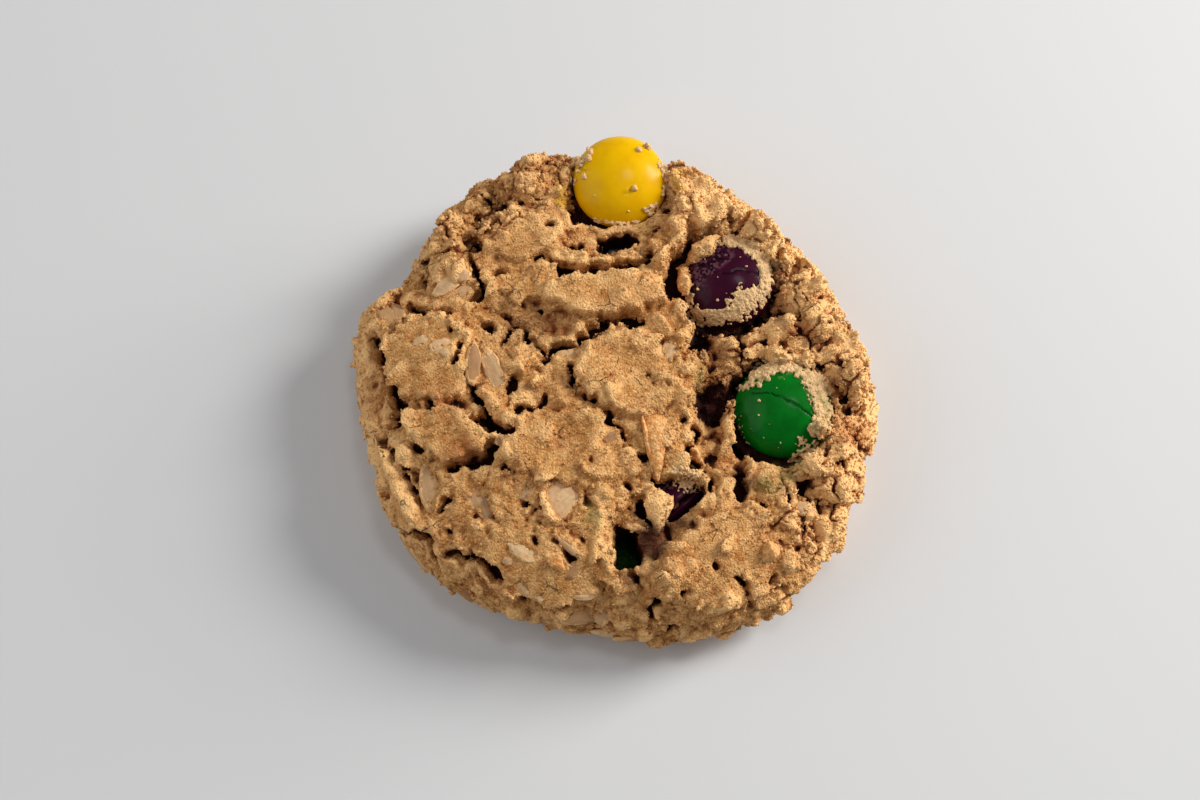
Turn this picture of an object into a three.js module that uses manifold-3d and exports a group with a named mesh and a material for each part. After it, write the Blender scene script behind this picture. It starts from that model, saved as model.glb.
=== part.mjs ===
// A monster cookie lying on its base: a thick round oat cookie with a cracked, lumpy face,
// rolled oats and dough crumbs baked into it, and six sugar-shelled candies in their sockets.
// Units are millimetres, +Z is up, and the origin is the middle of the flat base.
import * as THREE from "three";
import { mergeVertices } from "three/addons/utils/BufferGeometryUtils.js";
import { SimplexNoise } from "three/addons/math/SimplexNoise.js";
import Module from "manifold-3d";

// Driving dimensions of the cookie
const FACE_HEIGHT = 15; // the level plane that the face keeps to
const DOME_RISE = 0.8; // how far the middle of the face stands above that plane
const RIM_HEIGHT = 6.5; // height of the widest ring
const BASE_INSET = 3.6; // how far the flat base stays inside the widest ring
const SHOULDER_POWER = 4.2; // larger makes the face flatter and the shoulder tighter
const UNDERCUT_POWER = 2.4; // larger keeps the side upright for longer before it turns in to the base

// How far the outline reaches, every 15 degrees from the right side round past the back edge
const RIM_RADII = [
  36.5, 34.9, 34.2, 33.6, 34.4, 35.4, 35.6, 37.4, 37.7, 36.6, 35.2, 38.8,
  36.9, 35.9, 36.5, 36.4, 35.6, 34.7, 34.2, 36.1, 37.8, 37.8, 37.8, 36,
];

// The body's mesh: subdivisions of its starting sphere, points of its side view over the face and
// down the side, and the share of its true area that the hidden base counts for in sharing out faces
const BODY_DETAIL = 17;
const FACE_STEPS = 90;
const SIDE_STEPS = 16;
const BASE_WEIGHT = 0.08;

// The eye point from which the places on the face are read: a feature is written where it shows
// on the level plane of the face, and depth below that plane is allowed for
const EYE = new THREE.Vector3(0, -72.6, 230.6);

// Plates and lumps that stand up (+) or hollows that sink (-): x, y, half sizes, turn, rise
const LUMPS = [
  { at: [-25.5, 2.5], half: [6.2, 7.5], turn: 12, rise: 1.5 },
  { at: [-22.5, -8.4], half: [6, 3.8], turn: -14, rise: 1.4 },
  { at: [-2, 12], half: [9.5, 3.4], turn: 0, rise: 1.6 },
  { at: [1.5, 0.5], half: [7.5, 6], turn: -20, rise: 1.3 },
  { at: [-9, -9.5], half: [7, 4.5], turn: 8, rise: 0.9 },
  { at: [-13.5, 20.8], half: [6, 3.6], turn: 10, rise: 0.9 },
  { at: [-24.5, 17], half: [3.6, 5], turn: 20, rise: 1.1 },
  { at: [-10, 29.5], half: [7, 3.5], turn: 8, rise: 1.5 },
  { at: [12.5, 26], half: [6.5, 4.6], turn: -30, rise: 2.2 },
  { at: [21.5, 19.5], half: [5.5, 4], turn: -45, rise: 1.8 },
  { at: [28, 11], half: [4.2, 5], turn: 20, rise: 1.5 },
  { at: [33.2, -2], half: [3, 9], turn: 4, rise: 2 },
  { at: [30, -13.5], half: [4.4, 4.5], turn: 20, rise: 1.4 },
  { at: [7.2, 20.2], half: [1.8, 4.4], turn: -25, rise: 1.6 },
  { at: [15.5, -25.5], half: [11, 7], turn: 14, rise: 1.2 },
  { at: [-10, -26.5], half: [9, 5.5], turn: -12, rise: 0.9 },
  { at: [-30.5, -14.5], half: [2.6, 8], turn: 30, rise: 1.2 },
  { at: [-33, 3], half: [2, 6.5], turn: -8, rise: 0.9 },
  { at: [7.6, -27], half: [3, 2], turn: 20, rise: 0.8 },
  { at: [15, -5], half: [5.2, 9], turn: 0, rise: -1.9 },
  { at: [19, 7.5], half: [7, 4], turn: 30, rise: -1.6 },
  { at: [0, 20.5], half: [8, 3.2], turn: 0, rise: -1.5 },
  { at: [-12.5, 9.2], half: [7, 2.6], turn: -14, rise: -1.1 },
  { at: [5, -20], half: [6, 4.4], turn: 30, rise: -1.8 },
];

// Cracks: how deep, and the bends that each runs through
const CRACKS = [
  { deep: 2.8, path: [[-22, 21.5], [-19.6, 19], [-20.2, 16], [-18.9, 12.6], [-19.6, 10.8]] },
  { deep: 2.2, path: [[-20, 24.4], [-16.4, 24.6], [-14.4, 26]] },
  { deep: 2, path: [[-9.5, 17.8], [-7.7, 15.7], [1.5, 16], [5.1, 18]] },
  { deep: 2.4, path: [[-28.2, 10.1], [-23.2, 9.5], [-23, 5.9]] },
  { deep: 2, path: [[-34, 5.9], [-31.8, 2.5], [-31.2, -2], [-29.2, -4.1]] },
  { deep: 2.4, path: [[-20.6, -0.3], [-18.4, -4.6], [-14, -7.7]] },
  { deep: 2.4, path: [[-22.8, -12.8], [-19, -11.6], [-16.2, -9.7]] },
  { deep: 2.2, path: [[-31.2, -9.1], [-28.8, -12.6], [-28.6, -14.8], [-26.2, -17.4]] },
  { deep: 2, path: [[-28.4, -21.6], [-23.8, -24], [-23, -27.8]] },
  { deep: 1.8, path: [[-21.8, -24.6], [-18.2, -25.2], [-15.4, -28]] },
  { deep: 2.6, path: [[-12.7, 6.3], [-9.9, 3], [-5.9, 4.1], [-2.7, 6.1]] },
  { deep: 1.8, path: [[-3.7, 7.1], [0.5, 8.2], [3.9, 8.1]] },
  { deep: 1.6, path: [[-6.3, 1.3], [-5.1, -1.7], [-3.3, -3.7]] },
  { deep: 1.5, path: [[-1.5, -5.3], [0.3, -7.7], [4.1, -11.7]] },
  { deep: 2, path: [[10.3, -7.5], [9.9, -11], [11.5, -12.5]] },
  { deep: 1.6, path: [[15, -27.8], [16.8, -30], [17.6, -31.5]] },
  { deep: 1.6, path: [[5.1, -30.4], [4.7, -33], [6.5, -35]] },
  { deep: 1.8, path: [[30.2, -1.3], [30.4, -4.5], [31, -9]] },
  { deep: 1.8, path: [[24, -21.2], [26.8, -23]] },
  { deep: 2.2, path: [[9.4, 12], [7.4, 13.4], [9, 19], [12.8, 20.6]] },
  { deep: 2, path: [[17.2, 7.7], [20.3, 9], [20.6, 11]] },
];
const CRACK_HALF_WIDTH = 1;

// Soft swells of the whole surface: how broad and how high
const SWELLS = [
  { broad: 9, high: 0.55 },
  { broad: 3.6, high: 0.4 },
];

// How the edges of the features wander, so that they don't look drawn
const WANDER_BROAD = 3;
const WANDER_SHIFT = 0.6;

// A lump keeps its full rise up to the first share of its half sizes and is gone at the second
const LUMP_EDGE = [0.65, 1.15];

// The features of the face come in as the surface turns to the eye: cosines where they start and
// where they are full
const FACE_TURN = [0.05, 0.4];

const BASE_CALM = 2.5; // up to this height the relief fades, so that the base stays flat

// Pits: x, y, half width and depth
const PITS = [
  [-15.8, 15, 1.2, 2], [-9.7, 22.4, 1, 1.4], [-30, -6.2, 1.5, 2.4], [-25.6, -4.3, 1, 1.4],
  [-17.8, 7.3, 1.1, 1.8], [-14.5, -1.6, 1.2, 1.6], [-22.2, -12.9, 1.2, 1.8], [-15, -13.1, 1.2, 1.4],
  [-22.8, -17.6, 1.2, 2.4], [2.1, 7.1, 1, 1.8], [-12.2, -17.8, 1, 1.4], [13, -3, 2, 2],
  [11.7, 5.7, 1.6, 2.6], [16.5, -15, 1.4, 2.4], [26.6, 6.7, 1.3, 2], [32.6, -7.2, 1.9, 2.4],
  [27, -20, 1.2, 1.6], [20.8, -28.2, 1, 1.2], [-6.1, 25, 1.3, 2.4], [3.3, -18.8, 1, 2],
];

// Candies: a sugar shell as a flattened ball, where its middle is and which way its flat side faces
const CANDY_RADIUS = 6.7;
const CANDY_HALF_THICKNESS = 3.55;
const FIT_GAP = 0.3;
const CANDIES = {
  yellow_candy: { at: [0.4, 29.8, 13.5], faces: [0, -0.16, 1], colour: 0xf2bd0c },
  dark_candy: { at: [15.4, 15, 12], faces: [-0.12, -0.06, 1], colour: 0x34101f },
  green_candy: { at: [22.8, -4, 12.5], faces: [-0.06, -0.12, 1], colour: 0x0a5a1c },
  violet_candy: { at: [6.6, -14.7, 7.5], faces: [-0.58, 0.64, 0.5], colour: 0x3d1026 },
  deep_green_candy: { at: [-1.8, -26, 6], faces: [0.1, 0.05, 1], colour: 0x0b3f1a },
  slot_candy: { at: [-1.5, 22, 5.8], faces: [0, -0.05, 1], colour: 0x3a1220 },
};

// Openings down to the sunk candies: middle and half sizes of the ball that cuts each
const OPENINGS = [
  { at: [0.4, 20.9, 12], half: [3.2, 1.4, 4.6] },
  { at: [1.2, -22.8, 12], half: [2.6, 3.1, 5.4] },
  { at: [9.3, -17.2, 13.4], half: [3.6, 2, 3.4], turn: 42 },
];

// Rolled oats that show: x, y, half length, half width and turn of the long axis
const OATS = [
  [-32.5, 9.8, 3, 1.7, -62], [-25, 4.6, 2.6, 1.4, 10], [-19.2, 2, 3, 1.4, -75],
  [-16.7, 0.4, 3, 1.2, -70], [-15.2, -9.1, 1.6, 1, 20], [-28.5, -10, 2.6, 1.4, -60],
  [-24.9, -15.6, 3, 1.4, 80], [-18, -17.6, 2.4, 1.4, -80], [-7.3, -17.8, 2.7, 2.3, 60],
  [-12.3, -24.4, 2.2, 1, -30], [-7.5, -26.2, 2.6, 1.2, -55], [-20.1, -30.4, 2.4, 1.4, -35],
  [-4, -33, 3.2, 1.6, 0], [-6.9, 3.3, 1.7, 0.9, 20], [-0.9, -8.9, 1.2, 1.1, 0],
  [25, -18.4, 1.3, 1.1, 0], [-21.8, 14.4, 2.2, 1.3, 35], [5.5, 3.4, 2.6, 1.4, 60],
  [12.2, -18.9, 2.2, 1.2, 30], [-14, 28.2, 2.2, 1.3, 15],
];
const OAT_THICKNESS = 1.3;
const OAT_BED = 0.13; // how deep the middle of an oat lies under the dough
const OAT_GROOVE = 0.5; // depth of the groove, as a share of half the thickness
const OAT_GROOVE_WIDTH = 0.25; // half width of the groove, as a share of the oat's half width

// Dough that stands proud as drips and flakes: x, y, half sizes, turn and how proud
const DRIP_HALF_THICKNESS = 1.6;
const DRIPS = [
  { at: [5.2, -9.3], half: [1.7, 5], turn: 10, rise: 1.5 },
  { at: [-17.4, -3.4], half: [1.3, 2.8], turn: 42, rise: 1.3 },
  { at: [5.3, -18.2], half: [1.5, 2.9], turn: 8, rise: 1.4 },
  { at: [20.3, -24.2], half: [1.7, 1.4], turn: 0, rise: 1.2 },
  { at: [8.3, 9.6], half: [1.3, 2], turn: 25, rise: 1 },
  { at: [11.9, 18.5], half: [1.2, 2], turn: 40, rise: -0.5 },
];

// Dough nodules like popcorn, denser over the upper right and the right rim. A band runs between
// two angles and between two places along the side view, as shares of the way from face to base
const NODULE_RISE = 0.62; // how far a nodule stands out, as a share of its half size
const NODULE_SPACING = 0.6; // least distance of two, as a share of their half sizes together
const NODULE_LIFT = 0.8; // how far the nodules push the outline out, on average
const NODULE_BANDS = [
  { from: -30, to: 78, upper: 0.5, lower: 0.93, count: 90, size: [1.6, 2.8] },
  { from: 78, to: 145, upper: 0.52, lower: 0.93, count: 50, size: [1.6, 2.6] },
  { from: 145, to: 330, upper: 0.62, lower: 0.93, count: 90, size: [1.6, 2.6] },
];

// Facets of the small shapes, round their axis and along it
const CANDY_FACETS = [18, 10];
const OPENING_FACETS = [10, 8];
const DRIP_FACETS = [8, 5];
const OAT_FACETS = [8, 4];
const WELD_DISTANCE = 0.0001;

const BODY_SEED = 11;
const NODULE_SEED = 16;
const COOKIE_COLOUR = 0xb98a57;

// Seeded random numbers, the same in every build
function seededRandom(seed) {
  let state = seed;
  return () => {
    state = (state * 16807) % 2147483647;
    return state / 2147483647;
  };
}

const noise = new SimplexNoise({ random: seededRandom(BODY_SEED) });
const SHOULDER_RISE = FACE_HEIGHT + DOME_RISE - RIM_HEIGHT;

// The radius of the widest ring at an angle, a smooth curve through RIM_RADII less the nodules
function rimRadius(angle) {
  const step = (2 * Math.PI) / RIM_RADII.length;
  const turns = ((angle / step) % RIM_RADII.length + RIM_RADII.length) % RIM_RADII.length;
  const index = Math.floor(turns);
  const between = turns - index;
  const near = (offset) => RIM_RADII[(index + offset + RIM_RADII.length) % RIM_RADII.length];
  const slopeHere = (near(1) - near(-1)) / 2;
  const slopeNext = (near(2) - near(0)) / 2;
  const change = near(1) - near(0);
  return near(0) - NODULE_LIFT + between * (slopeHere
    + between * (3 * change - 2 * slopeHere - slopeNext
    + between * (slopeHere + slopeNext - 2 * change)));
}

// The height of the smooth face at a share of the way from the middle to the widest ring
function faceHeight(share) {
  return RIM_HEIGHT + SHOULDER_RISE * Math.sqrt(1 - share ** SHOULDER_POWER);
}

// The side view, from the middle of the face over the rim to the middle of the base, as points of
// [share of the ring's radius, height, shift inwards], each with the surface used up to it
function sideView() {
  const points = [];
  for (let i = 0; i <= FACE_STEPS; i++) {
    const share = 1 - (1 - i / FACE_STEPS) ** 2;
    points.push([share, faceHeight(share), 0]);
  }
  for (let i = 1; i <= SIDE_STEPS; i++) {
    const fall = i / SIDE_STEPS;
    points.push([1, RIM_HEIGHT * (1 - fall), BASE_INSET * fall ** UNDERCUT_POWER]);
  }
  points.push([0, 0, 0]);
  const meanRadius = RIM_RADII.reduce((sum, radius) => sum + radius, 0) / RIM_RADII.length;
  const radiusOf = (point) => point[0] * meanRadius - point[2];
  let used = 0;
  return points.map((point, i) => {
    if (i > 0) {
      const before = points[i - 1];
      const length = Math.hypot(radiusOf(point) - radiusOf(before), point[1] - before[1]);
      const onBase = i === points.length - 1;
      used += length * (radiusOf(point) + radiusOf(before)) * (onBase ? BASE_WEIGHT : 1);
    }
    return { share: point[0], height: point[1], inset: point[2], used };
  });
}

const SIDE_VIEW = sideView();

// A point of the smooth cookie for a direction of the starting sphere, with its outward direction
function smoothPoint(direction) {
  const target = ((1 - direction.z) / 2) * SIDE_VIEW.at(-1).used;
  let i = 1;
  while (SIDE_VIEW[i].used < target && i < SIDE_VIEW.length - 1) {
    i += 1;
  }
  const before = SIDE_VIEW[i - 1];
  const after = SIDE_VIEW[i];
  const blend = Math.min(1, (target - before.used) / (after.used - before.used));
  const angle = Math.atan2(direction.y, direction.x);
  const ring = rimRadius(angle);
  const radiusAt = (point) => point.share * ring - point.inset;
  const radius = THREE.MathUtils.lerp(radiusAt(before), radiusAt(after), blend);
  const height = THREE.MathUtils.lerp(before.height, after.height, blend);
  const along = new THREE.Vector2(radiusAt(after) - radiusAt(before), after.height - before.height);
  along.normalize();
  const point = new THREE.Vector3(radius * Math.cos(angle), radius * Math.sin(angle), height);
  const outward = new THREE.Vector3(-along.y * Math.cos(angle), -along.y * Math.sin(angle), along.x);
  return { point, outward };
}

// Where a point of the cookie shows on the level plane of the face, seen from the eye
function placeOnFace(point) {
  const reach = (EYE.z - FACE_HEIGHT) / (EYE.z - point.z);
  return new THREE.Vector2(EYE.x + (point.x - EYE.x) * reach, EYE.y + (point.y - EYE.y) * reach);
}

// The reverse: the point at a height that shows at a place on the face
function pointAtPlace(place, height) {
  const reach = (EYE.z - height) / (EYE.z - FACE_HEIGHT);
  const x = EYE.x + (place[0] - EYE.x) * reach;
  const y = EYE.y + (place[1] - EYE.y) * reach;
  return new THREE.Vector3(x, y, height);
}

// How far a place is from the middle of an oval feature, as a share of its half sizes
function shareOf(place, feature) {
  const turn = THREE.MathUtils.degToRad(feature.turn ?? 0);
  const x = place.x - feature.at[0];
  const y = place.y - feature.at[1];
  const along = (x * Math.cos(turn) + y * Math.sin(turn)) / feature.half[0];
  const across = (y * Math.cos(turn) - x * Math.sin(turn)) / feature.half[1];
  return Math.hypot(along, across);
}

// The nodules' middles on the smooth cookie, drawn in their bands and kept off each other
function placeNodules() {
  const random = seededRandom(NODULE_SEED);
  const nodules = [];
  for (const band of NODULE_BANDS) {
    for (let i = 0; i < band.count; i++) {
      const angle = THREE.MathUtils.degToRad(band.from + (band.to - band.from) * random());
      const down = band.upper + (band.lower - band.upper) * random();
      const level = 1 - 2 * down;
      const across = Math.sqrt(1 - level * level);
      const direction = new THREE.Vector3(across * Math.cos(angle), across * Math.sin(angle), level);
      const size = band.size[0] + (band.size[1] - band.size[0]) * random();
      const { point } = smoothPoint(direction);
      const isFree = nodules.every((other) => (
        other.point.distanceTo(point) > NODULE_SPACING * (other.size + size)));
      if (isFree) {
        nodules.push({ point, size });
      }
    }
  }
  return nodules;
}

const NODULES = placeNodules();

const EDGE_SHARE = 0.999; // the outermost share of the ring at which the face has a slope
const SIGHT_STEPS = 5;

// How far a place is from a path of straight runs
function distanceToPath(place, path) {
  let nearest = Infinity;
  for (let i = 1; i < path.length; i++) {
    const start = new THREE.Vector2(...path[i - 1]);
    const run = new THREE.Vector2(...path[i]).sub(start);
    const share = THREE.MathUtils.clamp(place.clone().sub(start).dot(run) / run.lengthSq(), 0, 1);
    nearest = Math.min(nearest, place.distanceTo(start.addScaledVector(run, share)));
  }
  return nearest;
}

// Smooth noise of a given breadth at a point; each layer is another draw
function noiseAt(point, broad, layer) {
  return noise.noise3d(point.x / broad + 40 * layer, point.y / broad, point.z / broad);
}

// How far the lumps raise a place on the face
function lumpRise(place) {
  let rise = 0;
  for (const lump of LUMPS) {
    rise += lump.rise * (1 - THREE.MathUtils.smoothstep(shareOf(place, lump), ...LUMP_EDGE));
  }
  return rise;
}

// How deep the cracks and the pits cut a place on the face
function cutDepth(place) {
  let depth = 0;
  for (const crack of CRACKS) {
    const share = distanceToPath(place, crack.path) / CRACK_HALF_WIDTH;
    depth = Math.max(depth, crack.deep * Math.exp(-share * share));
  }
  for (const [x, y, half, deep] of PITS) {
    const share = Math.hypot(place.x - x, place.y - y) / half;
    depth = Math.max(depth, deep * Math.exp(-share * share));
  }
  return depth;
}

// How far the nodules stand out at a point
function noduleRise(point) {
  let rise = 0;
  for (const { point: middle, size } of NODULES) {
    const share = Math.min(1, point.distanceTo(middle) / size);
    rise = Math.max(rise, NODULE_RISE * size * Math.sqrt(1 - share * share));
  }
  return rise;
}

// How far the real surface stands out from the smooth one
function relief(point, outward) {
  let rise = noduleRise(point);
  SWELLS.forEach(({ broad, high }, layer) => {
    rise += high * noiseAt(point, broad, layer);
  });
  const turnedToEye = outward.dot(EYE.clone().sub(point).normalize());
  const seen = THREE.MathUtils.smoothstep(turnedToEye, ...FACE_TURN);
  if (seen > 0) {
    const place = placeOnFace(point);
    place.x += WANDER_SHIFT * noiseAt(point, WANDER_BROAD, 2);
    place.y += WANDER_SHIFT * noiseAt(point, WANDER_BROAD, 3);
    rise += seen * (lumpRise(place) - cutDepth(place));
  }
  return rise * THREE.MathUtils.smoothstep(point.z, 0, BASE_CALM);
}

// Closed geometry without seams, for joining and cutting
function sealed(geometry) {
  geometry.deleteAttribute("normal");
  geometry.deleteAttribute("uv");
  return mergeVertices(geometry, WELD_DISTANCE);
}

// The cracked and lumpy body, with its flat base
function bodyGeometry() {
  const geometry = sealed(new THREE.IcosahedronGeometry(1, BODY_DETAIL));
  const position = geometry.attributes.position;
  for (let i = 0; i < position.count; i++) {
    const direction = new THREE.Vector3().fromBufferAttribute(position, i).normalize();
    const { point, outward } = smoothPoint(direction);
    point.addScaledVector(outward, relief(point, outward));
    position.setXYZ(i, point.x, point.y, Math.max(0, point.z));
  }
  return geometry;
}

// A ball stretched to half sizes
function ball(half, facets) {
  const geometry = new THREE.SphereGeometry(1, ...facets);
  geometry.scale(...half);
  return sealed(geometry);
}

// A rolled oat: a flat oval flake with the groove of the grain down its middle
function oatGeometry(halfLength, halfWidth) {
  const flat = new THREE.SphereGeometry(1, ...OAT_FACETS);
  flat.rotateX(Math.PI / 2);
  const geometry = sealed(flat);
  const position = geometry.attributes.position;
  for (let i = 0; i < position.count; i++) {
    const across = position.getY(i);
    const onTop = position.getZ(i) > 0.5;
    const groove = onTop ? OAT_GROOVE * Math.exp(-((across / OAT_GROOVE_WIDTH) ** 2)) : 0;
    const z = (position.getZ(i) - groove) * (OAT_THICKNESS / 2);
    position.setXYZ(i, position.getX(i) * halfLength, across * halfWidth, z);
  }
  return geometry;
}

// A candy in its place; extra makes it larger all round, for the pocket that it sits in
function candyGeometry(candy, extra) {
  const geometry = new THREE.SphereGeometry(1, ...CANDY_FACETS);
  geometry.rotateX(Math.PI / 2);
  const radius = CANDY_RADIUS + extra;
  geometry.scale(radius, radius, CANDY_HALF_THICKNESS + extra);
  geometry.applyQuaternion(facing(candy.faces));
  geometry.translate(...candy.at);
  return sealed(geometry);
}

// The turn that makes a shape's own Z axis face a direction
function facing(direction) {
  const up = new THREE.Vector3(0, 0, 1);
  return new THREE.Quaternion().setFromUnitVectors(up, new THREE.Vector3(...direction).normalize());
}

const wasm = await Module();
wasm.setup();

function toSolid(geometry) {
  const vertProperties = new Float32Array(geometry.attributes.position.array);
  const triVerts = new Uint32Array(geometry.index.array);
  return new wasm.Manifold(new wasm.Mesh({ numProp: 3, vertProperties, triVerts }));
}

function toGeometry(solid) {
  const { vertProperties, triVerts } = solid.getMesh();
  const geometry = new THREE.BufferGeometry();
  geometry.setAttribute("position", new THREE.BufferAttribute(new Float32Array(vertProperties), 3));
  geometry.setIndex(new THREE.BufferAttribute(new Uint32Array(triVerts), 1));
  geometry.computeVertexNormals();
  return geometry;
}

// The height and outward direction of the relieved surface over a point of the plan
function surfaceAt(x, y) {
  const angle = Math.atan2(y, x);
  const ring = rimRadius(angle);
  const share = Math.min(EDGE_SHARE, Math.hypot(x, y) / ring);
  const height = faceHeight(share);
  const fall = (SHOULDER_POWER * SHOULDER_RISE ** 2 * share ** (SHOULDER_POWER - 1)) / 2;
  const slope = fall / ((height - RIM_HEIGHT) * ring);
  const outward = new THREE.Vector3(slope * Math.cos(angle), slope * Math.sin(angle), 1).normalize();
  const point = new THREE.Vector3(x, y, height);
  return { point: point.clone().addScaledVector(outward, relief(point, outward)), outward };
}

// The same for a place on the face: the guess of the height is put right step by step
function surfaceAtPlace(place) {
  let guess = pointAtPlace(place, FACE_HEIGHT);
  for (let i = 0; i < SIGHT_STEPS; i++) {
    guess = pointAtPlace(place, surfaceAt(guess.x, guess.y).point.z);
  }
  return surfaceAt(guess.x, guess.y);
}

// Sets a piece on the surface, its flat side outwards, turned about that direction and sunk in
function setOnSurface(geometry, surface, turn, sink) {
  geometry.rotateZ(THREE.MathUtils.degToRad(turn));
  geometry.applyQuaternion(facing(surface.outward.toArray()));
  const at = surface.point.clone().addScaledVector(surface.outward, -sink);
  geometry.translate(at.x, at.y, at.z);
  return geometry;
}

// The whole of the dough: body, drips and oats, less the openings and the candies' pockets
function cookieSolid() {
  let solid = toSolid(bodyGeometry());
  for (const drip of DRIPS) {
    const surface = surfaceAtPlace(drip.at);
    const shape = ball([...drip.half, DRIP_HALF_THICKNESS], DRIP_FACETS);
    const sink = DRIP_HALF_THICKNESS - drip.rise;
    solid = solid.add(toSolid(setOnSurface(shape, surface, drip.turn, sink)));
  }
  for (const [x, y, halfLength, halfWidth, turn] of OATS) {
    const surface = surfaceAtPlace([x, y]);
    const shape = oatGeometry(halfLength, halfWidth);
    solid = solid.add(toSolid(setOnSurface(shape, surface, turn, OAT_BED)));
  }
  for (const { at, half, turn } of OPENINGS) {
    const shape = ball(half, OPENING_FACETS);
    shape.rotateZ(THREE.MathUtils.degToRad(turn ?? 0));
    shape.translate(...at);
    solid = solid.subtract(toSolid(shape));
  }
  for (const candy of Object.values(CANDIES)) {
    solid = solid.subtract(toSolid(candyGeometry(candy, FIT_GAP)));
  }
  return solid;
}

function cookie() {
  const material = new THREE.MeshStandardMaterial({ color: COOKIE_COLOUR, roughness: 0.9, metalness: 0 });
  const mesh = new THREE.Mesh(toGeometry(cookieSolid()), material);
  mesh.name = "cookie";
  return mesh;
}

function candyMesh(name, candy) {
  const material = new THREE.MeshStandardMaterial({ color: candy.colour, roughness: 0.3, metalness: 0 });
  const mesh = new THREE.Mesh(candyGeometry(candy, 0), material);
  mesh.name = name;
  return mesh;
}

const monsterCookie = new THREE.Group();
monsterCookie.add(cookie());
for (const [name, candy] of Object.entries(CANDIES)) {
  monsterCookie.add(candyMesh(name, candy));
}

export default monsterCookie;
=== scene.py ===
"""A monster cookie: a thick round oat cookie with sugar-shelled candies, lying face up on a pale floor."""

import math

import bpy
import numpy as np
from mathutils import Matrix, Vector
from mathutils.bvhtree import BVHTree


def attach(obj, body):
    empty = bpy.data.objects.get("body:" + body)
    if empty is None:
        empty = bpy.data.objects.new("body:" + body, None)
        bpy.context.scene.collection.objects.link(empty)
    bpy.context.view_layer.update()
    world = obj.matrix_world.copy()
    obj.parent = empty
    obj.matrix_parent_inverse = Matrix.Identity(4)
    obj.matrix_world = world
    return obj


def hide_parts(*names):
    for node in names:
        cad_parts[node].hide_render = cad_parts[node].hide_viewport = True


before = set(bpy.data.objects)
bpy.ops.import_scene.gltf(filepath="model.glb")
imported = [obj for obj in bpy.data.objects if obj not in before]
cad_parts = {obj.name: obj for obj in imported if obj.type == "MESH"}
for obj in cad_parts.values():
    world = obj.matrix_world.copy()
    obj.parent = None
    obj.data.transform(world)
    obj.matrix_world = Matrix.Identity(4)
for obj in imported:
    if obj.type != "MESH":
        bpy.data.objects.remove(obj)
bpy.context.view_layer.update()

bl_info = {
    "name": "Monster Cookie",
    "version": (1, 0, 0),
    "blender": (4, 5, 0),
    "location": "View3D > Sidebar > Cookie",
    "description": "Bakes a thick oat cookie with sugar-shelled candies",
    "category": "Add Mesh",
}

MM = 0.001
BODY = "root"

# The cookie's main form in millimetres, as the frame has it
FACE_HEIGHT = 15.0
DOME_RISE = 0.8
TOP_HEIGHT = FACE_HEIGHT + DOME_RISE
RIM_HEIGHT = 6.5
BASE_INSET = 3.6
BASE_POWER = 2.4
SHOULDER_POWER = 4.2
NODULE_LIFT = 0.3
SIDE_TUCK = 1.5
OUTLINE_SPILL = 0.8
CREASE_DEPTH = 1.0
LEAST_SHOULDER = 0.92

# How much of the sphere's points the base gets for its area, and the steps of the side view
BASE_SHARE = 0.2
FACE_STEPS = 200
SIDE_STEPS = 30
RIM_RADII = [
    36.5, 34.9, 34.2, 33.6, 34.4, 35.4, 35.6, 37.4, 37.7, 36.6, 35.2, 38.8,
    36.9, 35.9, 36.5, 36.4, 35.6, 34.7, 34.2, 36.1, 37.8, 37.8, 37.8, 36,
]

# Places on the face are read on its level plane, as seen from this eye point
EYE = np.array([0.0, -72.6, 230.6])

# Plates and lumps that stand up (+) or hollows that sink (-): x, y, half sizes, turn, rise
LUMPS = [
    (-25.5, 2.5, 6.2, 7.5, 12, 1.5), (-22.5, -8.4, 6, 3.8, -14, 1.4), (-2, 12, 9.5, 3.4, 0, 1.6),
    (1.5, 0.5, 7.5, 6, -20, 1.3), (-9, -9.5, 7, 4.5, 8, 0.9), (-13.5, 20.8, 6, 3.6, 10, 0.9),
    (-24.5, 17, 3.6, 5, 20, 1.1), (-10, 29.5, 7, 3.5, 8, 1.5), (12.5, 26, 6.5, 4.6, -30, 2.2),
    (21.5, 19.5, 5.5, 4, -45, 1.8), (28, 11, 4.2, 5, 20, 1.5), (33.2, -2, 3, 9, 4, 2),
    (30, -13.5, 4.4, 4.5, 20, 1.4), (7.2, 20.2, 1.8, 4.4, -25, 1.6), (15.5, -25.5, 11, 7, 14, 1.2),
    (-10, -26.5, 9, 5.5, -12, 0.9), (-30.5, -14.5, 2.6, 8, 30, 1.2), (-33, 3, 2, 6.5, -8, 0.9),
    (31.4, 2.6, 2.6, 4.4, 5, 1.3), (29.8, -7.4, 2, 2.2, 0, 1), (27.5, 17, 3, 3, 0, 1),
    (34.4, -7, 1.2, 3, 0, 1.2), (-28.6, -10.8, 1.3, 3, 28, 1.1), (-27.4, -14.4, 1.6, 1.2, 0, -0.9),
    (7.6, -27, 3, 2, 20, 0.8), (15, -5, 5.2, 9, 0, -1.9), (19, 7.5, 7, 4, 30, -1.6),
    (0, 20.5, 8, 3.2, 0, -1.5), (-12.5, 9.2, 7, 2.6, -14, -1.1), (5, -20, 6, 4.4, 30, -1.8),
]

# Lumps whose half sizes multiply to more than this are smooth plates
PLATE_AREA = 14

# Cracks and pits are cut deeper by this much, because the skin of crumb fills them again
OVERCUT = 1.5

# The dough stands up as a lip on the side of a crack that looks this way, by a share of its depth
LIT_SIDE = np.array([0.7, 0.7])
LIP_SHARE = 0.3
LIP_REACH = 3
MOST_LIP = 0.9

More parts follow.
